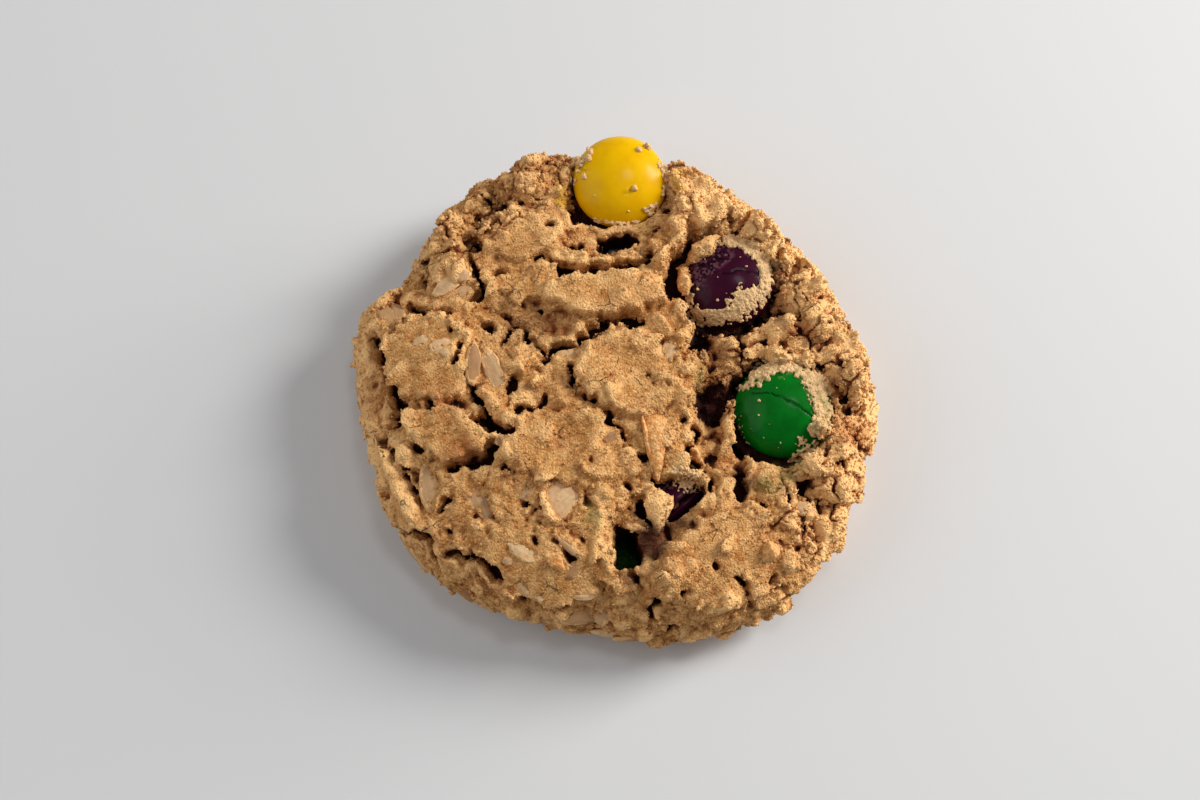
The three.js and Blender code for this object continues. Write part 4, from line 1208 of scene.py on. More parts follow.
def dough_finish(settings, name="baked_oat_dough", paler=0.0):
    """Baked oat dough: sugar grains, paler crumbs, painted brown shade in hollows, painted highlight on
    rises, toasted and stained patches.
    """
    finish = Finish(name, Roughness=0.85, Specular_IOR_Level=0.2)
    noise, attribute = finish.noise, finish.attribute
    number, bead = finish.cells(SUGAR_SIZE)
    rare, _ = finish.cells(0.9)
    tone, hollow = attribute("tone"), attribute("hollow")
    # A net of hairline splits, painted dark as their shade and dented in the bump
    crack = (1 - finish.splits(4.6, 3).between(0.006, 0.024)) * noise(3, 2).between(0.56, 0.66)
    colour = finish.painted(
        settings.tan,
        (noise(9, 2).between(0.35, 0.7) * 0.6, settings.toasted),
        (noise(2.6, 3, 0.6).between(0.42, 0.7) * 0.4, settings.pale),
        (noise(5, 3, 0.6).between(0.5, 0.68) * 0.35, settings.browned),
        (noise(1.4, 3, 0.65).between(0.54, 0.7) * 0.25, settings.browned),
        (number.between(0.6, 0.9) * 0.4, settings.pale),
        # Dark specks: painted shade of tiny pits
        ((1 - number).between(0.65, 0.95) * 0.26, settings.hollow),
        (noise(0.45, 3, 0.7).between(0.5, 0.7) * 0.3, settings.browned),
        (rare.between(0.9, 0.95) * 0.4, settings.browned),
        (tone.between(0.1, 0.9) * 0.4, settings.pale),
        ((0.0 - tone).between(0.1, 0.9) * 0.4, settings.toasted),
        (paler, settings.sugared),
        # Painted highlight: paler on rises, fine bumps and the lit rims, and on the paler places
        (attribute("knob").clamped() * 0.8, settings.pale),
        (crack * 0.5, settings.hollow),
        # Toasted patches and the browned base, and the painted warm shade in dents and creases
        (attribute("toast").clamped() * 0.8, settings.browned),
        # Painted shade on slopes under overhangs
        (attribute("dim").clamped(), settings.dim_shade_and_vein),
        # Painted shade: red-brown in shallow hollows, near black deep in the cracks and holes
        (hollow.between(0.04, 0.5) * 0.85, settings.crevice_shade),
        (hollow.between(0.3, 0.95), settings.hollow),
        # Maroon: painted shade round the openings, and a stain on the crumbs by the dark candy
        (attribute("maroon").clamped(), settings.maroon_stain_and_shade),
        (attribute("green").clamped(), settings.green_stain),
        (attribute("yellow").clamped(), settings.yellow_stain),
    )
    normal = finish.bump(noise(0.8, 4, 0.7) - crack * 0.6, 0.25, 1.0)
    normal = finish.bump(1 - bead, 0.16, 1.0, normal)
    return finish.done(colour, None, normal)


def oat_finish(settings):
    """Rolled oat: greyish beige, faintly veined along the flake, with dough stuck to its edge."""
    finish = Finish("rolled_oat", Roughness=0.6, Specular_IOR_Level=0.2)
    noise, attribute = finish.noise, finish.attribute
    wave = finish.node("ShaderNodeMath", {"operation": "SINE"})
    finish.set(wave.inputs[0], attribute("across") * 9 + noise(1.6, 2) * 9)
    vein = finish.value(wave.outputs[0]).between(0.7, 1)
    crumbed = attribute("rimmed") + (noise(1, 3, 0.6) - 0.5) * 2.4
    number, _ = finish.cells(SUGAR_SIZE)
    colour = finish.painted(
        settings.oat_grey,
        (attribute("paleness").clamped(), settings.oat_pale),
        (noise(1.1, 3).between(0.4, 0.7) * 0.3, settings.tan),
        (vein * 0.14, settings.dim_shade_and_vein),
        (crumbed.between(0.4, 0.6) * 0.5, settings.pale),
        (number.between(0.7, 0.95) * 0.3, settings.toasted),
    )
    normal = finish.bump(crumbed.between(0.3, 0.8), 0.12, 0.7)
    normal = finish.bump(noise(0.5, 3, 0.6), 0.1, 0.5, normal)
    return finish.done(colour, None, normal)


def candy_finish(name, colour, dark, dust):
    """Sugar shell: satin, mottled with a shaded copy of its colour as painted shade, dusty and dull where
    it is scuffed, one dusty spot a painted sheen, with painted shade in its cracks and over the deep
    candies.
    """
    finish = Finish(name, Specular_IOR_Level=0.05, Coat_Weight=0.14, Coat_Roughness=0.16)
    scuff = finish.attribute("scuff").clamped()
    number, bead = finish.cells(0.4)
    shade = finish.painted(
        colour,
        # Painted shade: mottled with a shaded copy of the shell colour
        (finish.noise(2.4, 3, 0.55).between(0.35, 0.7) * 0.5, dark),
        # Dust, and on the dark candy a painted sheen
        (scuff * number.between(0.55, 0.8) * 0.8, dust),
        (scuff * (1 - number).between(0.6, 0.8) * 0.8, [0.15 * c for c in dark]),
        # Painted shade in the cracks and gaps of the shell, and over the deep candies
        (finish.attribute("crackle").clamped(), [0.08 * c for c in dark]),
    )
    rough = 0.3 + 0.12 * finish.noise(1.2, 2) + 0.35 * scuff
    normal = finish.bump(finish.noise(1.5, 2), 0.05, 0.5)
    normal = finish.bump((1 - bead) * scuff, 0.12, 0.8, normal)
    return finish.done(shade, rough, normal)


def toasted_finish(settings):
    """Toasted flakes and nubs: orange tan, streaked, smoother than the dough."""
    finish = Finish("toasted_bits", Roughness=0.6, Specular_IOR_Level=0.3)
    number, bead = finish.cells(SUGAR_SIZE)
    colour = finish.painted(
        settings.toasted_bit,
        (finish.noise(1.6, 3, 0.6).between(0.35, 0.65), settings.tan),
        (finish.noise(0.9, 3, 0.6).between(0.42, 0.7) * 0.6, settings.pale),
        (finish.noise(0.7, 3, 0.6).between(0.55, 0.7) * 0.5, settings.browned),
        (number.between(0.6, 0.9) * 0.5, settings.pale),
    )
    normal = finish.bump(finish.noise(0.8, 3, 0.6), 0.25, 1.0)
    normal = finish.bump(1 - bead, 0.12, 0.8, normal)
    return finish.done(colour, None, normal)


# Settings


def colour_property(name, description, *rgb):
    """A colour given from 0 to 255."""
    settings = {"subtype": "COLOR", "size": 3, "min": 0, "max": 1, "default": linear(*rgb)}
    return bpy.props.FloatVectorProperty(name=name, description=description, **settings)


def count_property(name, description, default, least=1):
    """A whole number of pieces or faces."""
    return bpy.props.IntProperty(name=name, description=description, default=default, min=least)


def power_property(name, description, default):
    """A light's power in watts."""
    return bpy.props.FloatProperty(name=name, description=description, default=default, min=0)


class CookieSettings(bpy.types.PropertyGroup):
    """What a baker would change on the dough."""

    voxel: bpy.props.FloatProperty(
        name="Detail", description="Size of the smallest form in the dough", default=0.00026, min=0.0002,
        max=0.002, unit="LENGTH",
    )
    faces: count_property("Faces", "Triangles in the dough", 198000, 20000)
    nodules: count_property("Nodules", "Rough balls of dough", 260)
    buried_oats: count_property("Buried oats", "Rolled oats under the skin", 130)
    crumbs: count_property("Crumbs", "Loose crumbs on the dough", 4200)
    grains: count_property("Grains", "Sugar grains on the dough", 15500)
    side_oats: count_property("Side oats", "Rolled oats round the side", 36)
    tan: colour_property("Tan", "Plain baked dough", 199, 144, 83)
    toasted: colour_property("Toasted", "Darker dough", 184, 124, 64)
    # Also the colour of the painted highlight on rises, bumps and lit rims
    pale: colour_property("Pale", "Crumbs and sugary dough", 254, 206, 142)
    sugared: colour_property("Sugared", "Crumbs baked onto the candies", 242, 212, 164)
    # Also the colour of the painted warm shade in dents and creases
    browned: colour_property("Browned", "Browned patches", 172, 96, 42)
    # Painted shade on dough under an overhang; also the faint veins of the oats
    dim_shade_and_vein: colour_property("Dimmed", "Greyish dough under an overhang", 116, 70, 40)
    # Painted warm shade in the crevices
    crevice_shade: colour_property("Crevice", "Red-brown dough in the crevices", 134, 66, 34)
    # Painted shade deep in the cracks and holes, also used for the painted hairline splits and dark specks
    hollow: colour_property("Hollow", "Dough deep in the cracks", 38, 10, 5)
    # Also the painted shade round the pits, gaps and holes
    maroon_stain_and_shade: colour_property("Maroon stain", "Dough coloured by a violet candy", 66, 24, 24)
    green_stain: colour_property("Green stain", "Dough coloured by a green candy", 122, 124, 62)
    yellow_stain: colour_property("Yellow stain", "Dough coloured by a yellow candy", 206, 160, 40)
    oat_grey: colour_property("Oat grey", "Brownest rolled oats", 152, 112, 76)
    oat_pale: colour_property("Oat pale", "Palest rolled oats", 216, 182, 140)
    toasted_bit: colour_property("Toasted bit", "Toasted flakes and nubs", 206, 136, 70)


class CandySettings(bpy.types.PropertyGroup):
    """Colours of the sugar shells."""

    yellow: colour_property("Yellow", "Yellow shell", 230, 180, 0)
    # Shaded copy of the yellow shell, mottled in as painted shade
    yellow_dark: colour_property("Yellow, shaded", "Yellow shell where thin", 214, 158, 0)
    yellow_dust: colour_property("Yellow dust", "Scuffs on the yellow shell", 250, 214, 90)
    green: colour_property("Green", "Green shell", 0, 108, 24)
    # Shaded copy of the green shell, mottled in as painted shade
    green_dark: colour_property("Green, shaded", "Green shell where thin", 0, 74, 12)
    green_dust: colour_property("Green dust", "Scuffs on the green shell", 120, 140, 70)
    violet: colour_property("Violet", "Dark violet shell", 56, 8, 34)
    # Shaded copy of the violet shell, mottled in as painted shade
    violet_dark: colour_property("Violet, shaded", "Dark violet shell where thin", 32, 2, 20)
    # Also the colour of the painted sheen on the dark candy
    violet_dust: colour_property("Violet dust", "Scuffs on the violet shell", 112, 74, 88)


class StageSettings(bpy.types.PropertyGroup):
    """The floor, light and camera round the cookie."""

    floor: colour_property("Floor", "Plain pale floor", 214, 217, 222)
    key_power: power_property("Key", "Power of the large soft light", 5.1)
    edge_power: power_property("Edge", "Power of the low warm light", 3.0)
    fill_power: power_property("Fill", "Power of the soft fill light", 1.9)
    window_power: power_property("Window", "Power of the light from behind the viewer", 0.5)


def dough_settings():
    """The settings that the panel's user changes for the dough."""
    return bpy.context.scene.cookie_settings


# Operators


def depth_attributes(obj):
    """Stores the painted shade of each point of the dough in its hollows, the painted highlight on its
    knobs, and how toasted and stained it is.
    """
    points, normals, edges = points_of(obj), normals_of(obj), edges_of(obj)
    fine = np.sum((relaxed(points, edges, 6) - points) * normals, axis=1)
    smooth = relaxed(points, edges, 60) - points
    places = warped(place_on_face(points), points, 1.4)
    radius = np.hypot(points[:, 0], points[:, 1])
    share = np.clip(radius / rim_radius(np.arctan2(points[:, 1], points[:, 0])), 0, 0.999)
    face = RIM_HEIGHT + (TOP_HEIGHT - RIM_HEIGHT) * np.sqrt(1 - share**SHOULDER_POWER)
    on_face = (1 - smoothstep(share, 0.86, 0.95)) * smoothstep(points[:, 2], 3, 5)
    broad = on_face * smooth[:, 2] + (1 - on_face) * np.sum(smooth * normals, axis=1)
    sunk = np.where(share < 0.97, face - points[:, 2], 0) * (normals[:, 2] > -0.3)
    # Painted shade: how dark each point is painted for lying in a broad dip, a fine pit or a hole below the
    # face
    hollow = smoothstep(broad, 0.22, 0.85) * (0.35 + 0.6 * on_face) + smoothstep(fine, 0.05, 0.25) * 0.2
    on_side = smoothstep(share, 0.84, 0.92) * (1 - smoothstep(points[:, 2], 6, 8))
    hollow += smoothstep(sunk, 1.7, 3.6) * 0.9 * (1 - on_side) * (points[:, 2] > 2)
    crease = attribute_of(obj, "crease")
    # Painted light and shade on the crumbly rim at the upper right: its lumps are painted paler as if lit,
    # its dents and creases get a painted warm shade, and all painted shade is halved where it is brightest
    lit_crumbly_rim = smoothstep(places[:, 0] + 0.35 * places[:, 1], 13, 20) * crumbly(places)
    dented = smoothstep(np.sum((relaxed(points, edges, 18) - points) * normals, axis=1), 0.1, 0.42)
    bright = lit_crumbly_rim * smoothstep(places[:, 1], 11, 18)
    dent_and_crease_shade = np.maximum(lit_crumbly_rim * dented, 0.9 * crease) * (1 - 0.5 * bright)
    hollow = (hollow * (1 - 0.2 * lit_crumbly_rim) + 0.4 * crease) * (1 - 0.5 * bright)
    set_attribute(obj, "hollow", np.clip(hollow, 0, 1))
    tone = chips(points, CHIP_SIZE, CHIP_SEED)[1] + chips(points, BROAD_CHIP_SIZE, BROAD_CHIP_SEED)[1] - 1
    set_attribute(obj, "tone", tone)
    # Paler dough, on the rims also painted light
    pale = over_spots(places, PALE_AND_LIT_PLACES, 0.5, 1.3)
    # Painted highlight on broad rises and fine bumps, over the paler and painted-lit places
    knob = pale + smoothstep(-broad, 0.15, 0.9) * 0.6 + smoothstep(-fine, 0.04, 0.2) * 0.25
    set_attribute(obj, "knob", knob + lit_crumbly_rim * (1 - dented) * (1 - crease))
    upper = smoothstep(points[:, 2], 3, 6)
    below = (1 - smoothstep(points[:, 2], 0.3, 3.5)) * (0.75 + 0.4 * clouds(points, 9, 87))
    for name, spots in PATCHES.items():
        total = over_spots(places, spots, 0.4, 1.25) * upper
        # The toasted layer also takes the painted warm shade of dents and creases
        if name == "toast":
            total = np.maximum.reduce([total, below * 0.8, dent_and_crease_shade])
        set_attribute(obj, name, total)


def joined(parts):
    """Points and faces of many small shapes as one."""
    counts = np.cumsum([0] + [len(points) for points, _ in parts])
    points = np.concatenate([points for points, _ in parts])
    faces = np.concatenate([faces + start for (_, faces), start in zip(parts, counts)])
    return points, faces


def away_from_candies(chance, places, low, high):
    """A chance that falls to nothing beside and on the candies."""
    for candy in CANDIES.values():
        gap = np.linalg.norm(places - np.array(candy["seen"]), axis=1) - max(candy["edge"])
        chance = chance * smoothstep(gap, low, high)
    return chance


def picked(random, chance, count):
    """Different points drawn by their chances."""
    return random.choice(len(chance), size=count, replace=False, p=chance / chance.sum())


def nodules(points, outward, count):
    """Rough balls of dough over the crumbly parts, as points and faces."""
    random = np.random.default_rng(NODULE_SEED)
    places = place_on_face(points)
    high = smoothstep(points[:, 2], 2.5, 4.5)
    chance = np.where(outward[:, 2] < 0.15, 0.15 * high, crumbly(places) * high)
    picks = picked(random, away_from_candies(chance, places, 0.2, 0.8), count)
    directions, faces = blob_shape(3)
    parts = []
    for pick in picks:
        size = 0.8 + 2.1 * random.random() ** 2
        stretch = 1 + 0.5 * (random.random(3) - 0.5)
        rough = 0.75 + 0.4 * billows(directions * size + 9 * random.random(3), 2.2, 5, 3)
        shape = directions * rough[:, None] * size * stretch
        parts.append((shape + points[pick] + outward[pick] * size * (0.3 * random.random() - 0.4), faces))
    return joined(parts)


def buried_flakes(points, outward, count):
    """Rolled oats under a skin of dough, leaning so that their edges stand out, as points and faces."""
    random = np.random.default_rng(BURIED_SEED)
    places = place_on_face(points)
    chance = (1.1 - calm(places)) * smoothstep(points[:, 2], 3, 6) * smoothstep(outward[:, 2], 0.4, 0.8)
    chance = chance * clear_of_openings(places, 1.8)
    for x, y, half_length, half_width, turn, _, _ in OATS:
        share = share_of(places, x, y, half_length + 1.5, half_width + 1.5, turn)
        chance = chance * smoothstep(share, 0.9, 1.2)
    chance = away_from_candies(chance, places, 0.8, 1.6)
    ball, faces = blob_shape(3)
    parts = []
    for number, pick in enumerate(picked(random, chance, count)):
        length = 1 + 1.3 * random.random()
        width = length * (0.4 + 0.35 * random.random())
        shape = flake(ball, length, width, BURIED_OAT_NOISE + number)
        lean = Vector(outward[pick] + 0.25 * random.normal(size=3)).normalized()
        turn = 360 * random.random()
        parts.append((laid(shape, points[pick], lean, turn, 0.2 * random.random() - 0.15), faces))
    return joined(parts)


def crumbed(points, normals, edges):
    """The dough's points with a fine crumb, and how deep in a crease each one is."""
    points = held_in(points)
    loose = np.where(normals[:, 2] > 0, crumbly(place_on_face(points)), 0.5)
    points = relaxed(points, edges, 1)
    pull = np.where(loose > 0.4, 0.8 * loose, loose - 0.4)
    points += pull[:, None] * (relaxed(points, edges, 6) - points)
    broken = 1 - calm(place_on_face(points))
    rough = np.maximum(loose, 0.7 * broken * smoothstep(cloud(points, 6, 58), 0.1, 0.5))
    crease = creases(points) * np.minimum(1, 1.3 * loose)
    fine = (0.08 + 0.16 * rough) * (billows(points, 1.7, 91, 3) - 0.4) - 0.8 * CREASE_DEPTH * crease
    fine += 0.09 * (0.5 - grains(points, 0.7, 95)[0])
    chipped = 0.04 + 0.1 * broken * (1 - 0.6 * loose) + 0.04 * rough
    fine += chipped * chips(points, CHIP_SIZE, CHIP_SEED)[0]
    points = points + normals * (fine * smoothstep(points[:, 2], 0.1, 0.6))[:, None]
    points[:, 2] = np.maximum(points[:, 2], 0) + base_pits(points)
    return points, crease


class COOKIE_OT_bake_dough(bpy.types.Operator):
    """Bake the cracked, lumpy dough"""

    bl_idname = "cookie.bake_dough"
    bl_label = "Bake the dough"

    def execute(self, context):
        settings = dough_settings()
        dough, directions = new_ball("cookie_dough", 8)
        points, outward = smooth_points(directions)
        points = points + outward * relief(points, outward)[:, None]
        points = opened(points)
        points[:, 2] = np.maximum(points[:, 2], 0)
        set_points(dough, points)
        lumps = mesh_object("nodules", *nodules(points, outward, settings.nodules))
        flakes = mesh_object("flakes", *buried_flakes(points, outward, settings.buried_oats))
        ball, faces = blob_shape(4)
        bits = []
        for number, bit in enumerate(DOUGH_BITS):
            bits.append((strand(ball, *bit, STRAND_NOISE + STRAND_NOISE_STEP * number), faces))
        select_only(dough, lumps, flakes, mesh_object("bits", *joined(bits)))
        bpy.ops.object.join()
        points, crease = crumbed(*made_one(dough, settings.voxel), edges_of(dough))
        set_points(dough, points)
        set_attribute(dough, "crease", crease)
        thinned(dough, settings.faces)
        keep_largest(dough)
        depth_attributes(dough)
        finish_piece(dough, dough_finish(settings), "baked_dough", "cookie")
        return {"FINISHED"}


class COOKIE_OT_set_candies(bpy.types.Operator):
    """Set the sugar-shelled candies into the dough"""

    bl_idname = "cookie.set_candies"
    bl_label = "Set the candies"

    def execute(self, context):
        settings = context.scene.candy_settings
        for colour, names in SHELLS.items():
            slot = colour + "_shell"
            shades = [getattr(settings, colour + kind) for kind in ("", "_dark", "_dust")]
            finish = candy_finish(slot, *shades)
            for name in names:
                finish_piece(self.shell(name, CANDIES[name]), finish, slot, name)
        return {"FINISHED"}

    @staticmethod
    def shell(name, candy):
        """One candy's sugar shell with its cracks, in its place."""
        shell, directions = new_ball(name + "_shell", 5 if "shade" in candy else 6)
        size = np.array([CANDY_RADIUS, CANDY_RADIUS, CANDY_HALF_THICKNESS])
        turn = Vector((0, 0, 1)).rotation_difference(Vector(candy["faces"]).normalized())
        turn = np.array(turn.to_matrix())
        points = (directions * size) @ turn.T + np.array(candy["at"])
        outward = unit(directions / size) @ turn.T
        places = place_on_face(points)
        upper = outward[:, 2] > 0
        scuff = over_spots(warped(places, points, 0.8), candy["dust_and_sheen_spots"], 0.6, 1.2) * upper
        crackle = np.zeros(len(points))
        for path in candy["cracks"]:
            distance = distance_to_path(places + 0.1 * cloud(points, 0.8, 5)[:, None], path)
            crackle = np.maximum(crackle, (1 - smoothstep(distance, 0.05, 0.16)) * upper)
        sink = SHELL_CRACK_DEPTH * crackle
        # Painted shade: the cracks, the gap between the broken candy's halves and the whole shell of a deep
        # candy are painted dark
        crackle = np.maximum(crackle, candy.get("shade", 0))
        if name == SPLIT_CANDY:
            beside = np.abs(directions[:, 2] * CANDY_HALF_THICKNESS + 0.15 * cloud(points, 1.2, 8))
            split = 1 - smoothstep(beside, SPLIT_HALF_GAP, SPLIT_HALF_GAP + 0.14)
            crackle = np.maximum(crackle, split)
            sink = sink + SPLIT_DEPTH * split
        lift = 0.05 * cloud(points, 4, 3) + scuff * 0.16 * (0.6 - grains(points, 0.5, 6)[0])
        set_points(shell, points + outward * (lift - sink)[:, None])
        set_attribute(shell, "scuff", scuff)
        set_attribute(shell, "crackle", crackle)
        return shell


def crumb_grains(points, outward, sizes, shape, faces):
    """Uneven angular grains at points, each made from a small ball or block."""
    random = np.random.default_rng(GRAIN_SEED)
    count = len(points)
    reach = sizes[:, None, None] * (0.6 + 0.7 * random.random((count, len(shape), 1)))
    turn = np.linalg.qr(random.normal(size=(count, 3, 3)))[0]
    turn[:, :, 0] *= np.linalg.det(turn)[:, None]
    shapes = np.einsum("pij,kj->pki", turn, shape) * reach * (0.7 + 0.6 * random.random((count, 1, 3)))
    placed = shapes + (points + outward * (0.2 * sizes)[:, None])[:, None, :]
    all_faces = faces[None] + (np.arange(count) * len(shape))[:, None, None]
    return placed.reshape(-1, 3), all_faces.reshape(-1, faces.shape[1])


class COOKIE_OT_scatter_crumbs(bpy.types.Operator):
    """Scatter crumbs and sugar grains over the dough"""

    bl_idname = "cookie.scatter_crumbs"
    bl_label = "Scatter the crumbs"

    def execute(self, context):
        settings = dough_settings()
        dough = bpy.data.objects["cookie_dough"]
        points, normals = points_of(dough), normals_of(dough)
        random = np.random.default_rng(CRUMB_SEED)
        hollow = attribute_of(dough, "hollow")
        loose = 0.15 + crumbly(place_on_face(points))
        upper = smoothstep(points[:, 2], 1.5, 4)
        face = smoothstep(normals[:, 2], -0.1, 0.3) * upper
        crumbed_part = loose * (0.3 * upper + 0.7 * face) * (1 - 0.8 * hollow)
        sugared_part = (0.25 * upper + 0.75 * face) * (1 - 0.7 * hollow)
        kinds = (
            ("dough_crumbs", settings.crumbs, crumbed_part, 0.12, 0.3, blob_shape(1)),
            ("sugar_grains", settings.grains, sugared_part, 0.1, 0.12, block_shape()),
        )
        for name, count, chance, least, spread, (shape, faces) in kinds:
            picks = picked(random, chance, count)
            sizes = least + spread * random.random(count) ** 3
            piece = mesh_object(name, *crumb_grains(points[picks], normals[picks], sizes, shape, faces))
            # Each crumb takes the painted shade and highlight of the dough under it, a little more painted
            # shade at random, and its stains
            values = {"hollow": 0.8 * hollow[picks] + 0.15 * random.random(count) ** 2}
            for stain in ("maroon", "green", "yellow", "dim", "toast", "knob", "tone"):
                values[stain] = attribute_of(dough, stain)[picks]
            for key, value in values.items():
                set_attribute(piece, key, np.repeat(value, len(shape)))
            finish_piece(piece, bpy.data.materials["baked_oat_dough"], "baked_dough", "cookie")
        return {"FINISHED"}


class COOKIE_OT_lay_oats(bpy.types.Operator):
    """Lay the rolled oats that show on the face, and more round the side"""

    bl_idname = "cookie.lay_oats"
    bl_label = "Lay the oats"

    def execute(self, context):
        settings = dough_settings()
        dough = bpy.data.objects["cookie_dough"]
        tree = surface_tree(dough)
        parts, paleness = [], []
        ball, faces = blob_shape(3)
        for number, (x, y, half_length, half_width, turn, pale, proud) in enumerate(OATS):
            point, outward = surface_at_place(tree, (x, y))
            level = 1.2 if math.hypot(x, y) < 30 else 0.6
            outward = (outward + Vector((0, 0, level))).normalized()
            shape = flake(ball, half_length, half_width, number)
            parts.append((laid(shape, point, outward, turn, proud - 0.3), faces))
            paleness.append(pale)
        random = np.random.default_rng(OAT_SEED)
        points, normals = points_of(dough), normals_of(dough)
        edge = rim_radius(np.arctan2(points[:, 1], points[:, 0]))
        chance = (np.hypot(points[:, 0], points[:, 1]) > edge - 1.5) * smoothstep(points[:, 2], 2, 3)
        chance = chance * (1 - smoothstep(points[:, 2], 6, 8)) * (np.abs(normals[:, 2]) < 0.4)
        for number, pick in enumerate(picked(random, chance, settings.side_oats)):
            length = 1.2 + 1.6 * random.random()
            width = length * (0.35 + 0.25 * random.random())
            shape = flake(ball, length, width, SIDE_OAT_NOISE + number)
            outward = Vector((points[pick][0], points[pick][1], 0)).normalized()
            parts.append((laid(shape, points[pick], outward, 360 * random.random(), -0.3), faces))
            paleness.append(random.random())
        oats = mesh_object("rolled_oats", *joined(parts))
        rimmed = smoothstep(np.hypot(ball[:, 0], ball[:, 1]), 0.7, 1)
        set_attribute(oats, "across", np.tile(ball[:, 1], len(parts)))
        set_attribute(oats, "rimmed", np.tile(rimmed, len(parts)))
        set_attribute(oats, "paleness", np.repeat(paleness, len(ball)))
        finish_piece(oats, oat_finish(settings), "baked_dough", "cookie")
        return {"FINISHED"}


def flake(ball, half_length, half_width, seed):
    """A bent, ragged oval flake that thins to its edge, lying level with its length along X."""
    ragged = 1.12 + 0.3 * clouds(ball * 2.2, 1.4, seed, 3)
    height = np.sign(ball[:, 2]) * np.sqrt(np.abs(ball[:, 2])) * (0.3 + 0.1 * half_width)
    height += 0.06 * half_length * (0.3 - ball[:, 0] ** 2) + 0.12 * clouds(ball * 3, 1.5, seed + 7, 2)
    return np.column_stack([ball[:, 0] * half_length * ragged, ball[:, 1] * half_width * ragged, height])


def laid(shape, point, outward, turn, height):
    """A level shape set onto a surface point, its length turned as seen from above."""
    outward = Vector(outward)
    turned = math.radians(turn)
    length = Vector((math.cos(turned), math.sin(turned), 0))
    if abs(outward.dot(length)) > 0.9:
        length = Vector((-length.y, length.x, 0.3))
    length = (length - outward * outward.dot(length)).normalized()
    side = outward.cross(length)
    level = np.array(point) + shape[:, :1] * length + shape[:, 1:2] * side
    return level + (shape[:, 2:] + height) * outward


class COOKIE_OT_add_bits(bpy.types.Operator):
    """Add the toasted flakes and nubs"""

    bl_idname = "cookie.add_bits"
    bl_label = "Add the toasted bits"

    def execute(self, context):
        ball, faces = blob_shape(5)
        tree = surface_tree(bpy.data.objects["cookie_dough"])
        parts = []
        for number, (half_widths, half_heights, path) in enumerate(TOASTED_BITS):
            heights = np.array([max(surface_at_place(tree, bend[:2])[0].z, LOWEST_BIT) for bend in path])
            heights = (heights + heights.mean()) / 2
            raised = [(x, y, height + lift) for (x, y, lift), height in zip(path, heights)]
            seed = TOASTED_NOISE + STRAND_NOISE_STEP * number
            parts.append((strand(ball, half_widths, half_heights, raised, seed, 0.14), faces))
        bits = mesh_object("toasted_bits", *joined(parts))
        finish_piece(bits, toasted_finish(dough_settings()), "baked_dough", "cookie")
        return {"FINISHED"}


class COOKIE_OT_crust_candies(bpy.types.Operator):
    """Bake crumbs onto the candies and round their edges"""

    bl_idname = "cookie.crust_candies"
    bl_label = "Crust the candies"

    def execute(self, context):
        settings = dough_settings()
        trees = [surface_tree(bpy.data.objects[name + "_shell"]) for name in CANDIES]
        trees.append(surface_tree(bpy.data.objects["cookie_dough"]))
        random = np.random.default_rng(CRUST_SEED)
        ball, faces = blob_shape(2)
        parts = []

        def add(place, size):
            found = self.nearest(trees, place)
            if found is None:
                return
            point, outward = found
            stretch = size * (1 + 0.5 * (random.random(3) - 0.5))
            rough = 0.75 + 0.45 * billows(ball + 9 * random.random(3), 0.9, 3, 2)
            middle = ball * rough[:, None] * stretch + np.array(point)
            parts.append((middle + np.array(outward) * size * (0.1 + 0.4 * random.random()), faces))

        for half, low, high, density, path in CRUSTS:
            bends = np.array(path, float)
            lengths = np.linalg.norm(np.diff(bends, axis=0), axis=1)
            used = np.concatenate([[0], np.cumsum(lengths)])
            for _ in range(int(CRUST_FILL * density * used[-1] * 2 * half)):
                at = used[-1] * random.random()
                middle = np.array([np.interp(at, used, bends[:, k]) for k in range(2)])
                place = middle + half * (random.random(2) * 2 - 1)
                add(place, CRUST_SIZE * (low + (high - low) * random.random() ** 1.6))
        for x, y, size in CANDY_CRUMBS:
            add((x, y), size)
            add((x + size * 0.5, y - size * 0.3), size * 0.7)
        crust = mesh_object("candy_crust", *joined(parts))
        points, normals = made_one(crust, CRUST_VOXEL)
        set_points(crust, points + normals * (0.12 * (0.5 - grains(points, 0.4, 14)[0]))[:, None])
        thinned(crust, 0.5 * settings.faces)
        points = points_of(crust)
        places = place_on_face(points)
        patchy = smoothstep(cloud(points, 1.1, 12), -0.2, 0.5)
        for name, key, strength in CRUST_STAINS:
            distance = np.linalg.norm(places - np.array(CANDIES[name]["seen"]), axis=1)
            set_attribute(crust, key, strength * patchy * (1 - smoothstep(distance, 5.5, 8)))
        finish_piece(crust, dough_finish(settings, "candy_crust", 0.6), "baked_dough", "cookie")
        return {"FINISHED"}

    @staticmethod
    def nearest(trees, place):
        """The first surface that shows at a place and its outward direction, or None past the edge."""
        eye = Vector(EYE) * MM
        ray = (Vector((place[0], place[1], FACE_HEIGHT)) - Vector(EYE)).normalized()
        hits = [tree.ray_cast(eye, ray) for tree in trees]
        hits = [hit for hit in hits if hit[0] is not None]
        if not hits:
            return None
        point, outward, _, _ = min(hits, key=lambda hit: hit[3])
        return point / MM, outward


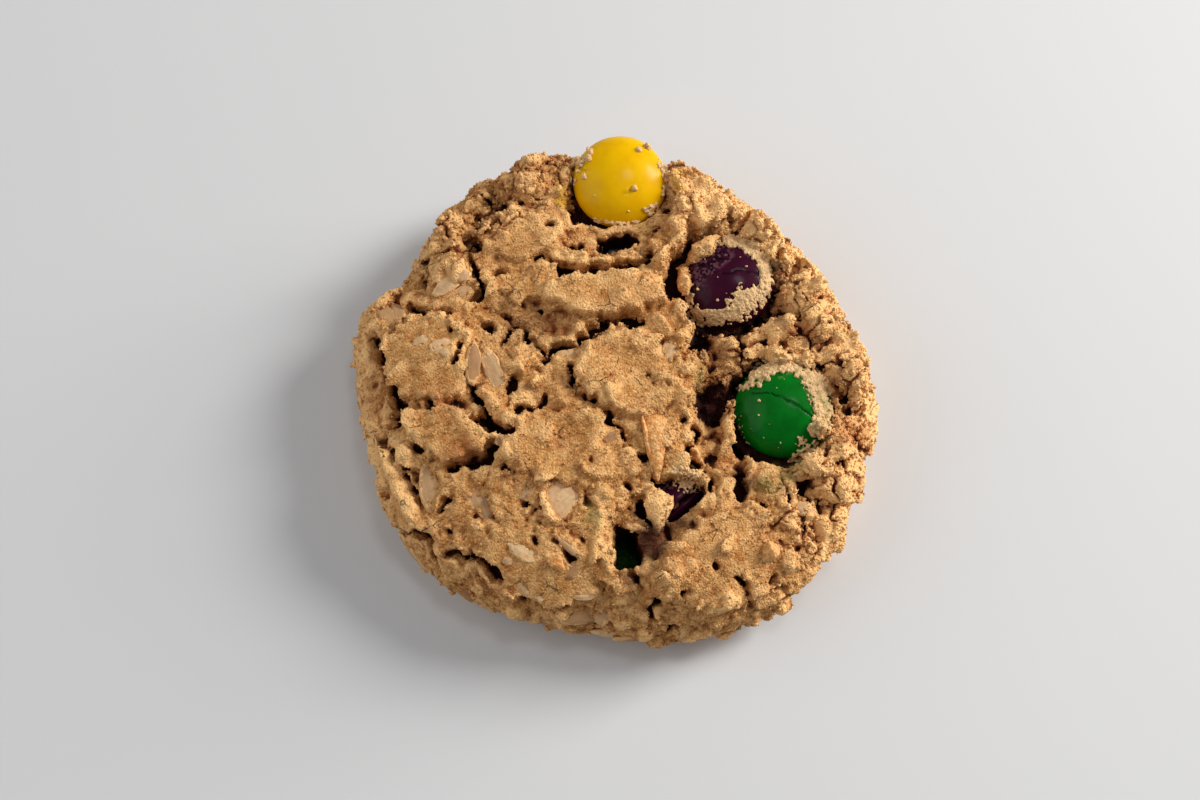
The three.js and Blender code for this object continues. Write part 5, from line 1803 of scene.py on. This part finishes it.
class COOKIE_OT_set_stage(bpy.types.Operator):
    """Set the floor, the lights and the camera"""

    bl_idname = "cookie.set_stage"
    bl_label = "Set the stage"

    def execute(self, context):
        settings = context.scene.stage_settings
        begin()
        bpy.ops.mesh.primitive_plane_add(size=FLOOR_SIZE, location=(0, 0, 0))
        floor = context.object
        floor.name = "pale_floor"
        finish = Finish("pale_floor", Roughness=0.75, Specular_IOR_Level=0.2)
        darker = [0.96 * c for c in settings.floor]
        mottled = finish.painted(settings.floor, (finish.noise(60, 2) * 0.5, darker))
        floor.data.materials.append(finish.done(mottled))
        target = Vector(TARGET) * MM
        for name, (place, size, colour) in LIGHTS.items():
            self.add_light(name + "_light", place, target, size, getattr(settings, name + "_power"), colour)
        world = bpy.data.worlds.new("soft_room")
        context.scene.world = world
        world.use_nodes = True
        background = world.node_tree.nodes["Background"]
        background.inputs["Color"].default_value = ROOM_COLOUR
        background.inputs["Strength"].default_value = ROOM_STRENGTH
        context.scene.view_settings.view_transform = "Standard"
        context.scene.view_settings.look = "None"
        self.add_camera(context, target)
        return {"FINISHED"}

    @staticmethod
    def add_light(name, place, target, size, power, colour):
        """A soft round light that shines at the target."""
        bpy.ops.object.light_add(type="AREA", location=place)
        light = bpy.context.object
        light.name = name
        light.data.shape = "DISK"
        light.data.size = size
        light.data.energy = power
        light.data.color = colour
        light.rotation_euler = (target - Vector(place)).to_track_quat("-Z", "Y").to_euler()

    @staticmethod
    def add_camera(context, target):
        """The camera at the photo's angle, aimed at a point on the face."""
        tilt = math.radians(CAMERA_TILT)
        place = target + CAMERA_DISTANCE * MM * Vector((0, -math.sin(tilt), math.cos(tilt)))
        bpy.ops.object.camera_add(location=place)
        camera = context.object
        camera.name = "photo_camera"
        camera.data.lens = CAMERA_LENS
        camera.data.sensor_width = CAMERA_SENSOR
        camera.data.clip_start = 0.01
        camera.data.shift_x, camera.data.shift_y = CAMERA_SHIFT
        camera.rotation_euler = (target - place).to_track_quat("-Z", "Y").to_euler()
        context.scene.camera = camera


class COOKIE_PT_panel(bpy.types.Panel):
    """Lists the steps of making the cookie"""

    bl_label = "Monster cookie"
    bl_idname = "COOKIE_PT_panel"
    bl_space_type = "VIEW_3D"
    bl_region_type = "UI"
    bl_category = "Cookie"

    def draw(self, context):
        for step in STEPS:
            self.layout.operator(step.bl_idname)


STEPS = (
    COOKIE_OT_bake_dough, COOKIE_OT_scatter_crumbs, COOKIE_OT_set_candies, COOKIE_OT_lay_oats,
    COOKIE_OT_add_bits, COOKIE_OT_crust_candies, COOKIE_OT_set_stage,
)
CLASSES = (CookieSettings, CandySettings, StageSettings, *STEPS, COOKIE_PT_panel)


def register():
    for cls in CLASSES:
        bpy.utils.register_class(cls)
    bpy.types.Scene.cookie_settings = bpy.props.PointerProperty(type=CookieSettings)
    bpy.types.Scene.candy_settings = bpy.props.PointerProperty(type=CandySettings)
    bpy.types.Scene.stage_settings = bpy.props.PointerProperty(type=StageSettings)


def unregister():
    del bpy.types.Scene.stage_settings
    del bpy.types.Scene.candy_settings
    del bpy.types.Scene.cookie_settings
    for cls in reversed(CLASSES):
        bpy.utils.unregister_class(cls)


def main():
    register()
    bpy.ops.cookie.bake_dough()
    bpy.ops.cookie.scatter_crumbs()
    bpy.ops.cookie.set_candies()
    bpy.ops.cookie.lay_oats()
    bpy.ops.cookie.add_bits()
    bpy.ops.cookie.crust_candies()
    bpy.ops.cookie.set_stage()


if __name__ == "__main__":
    main()
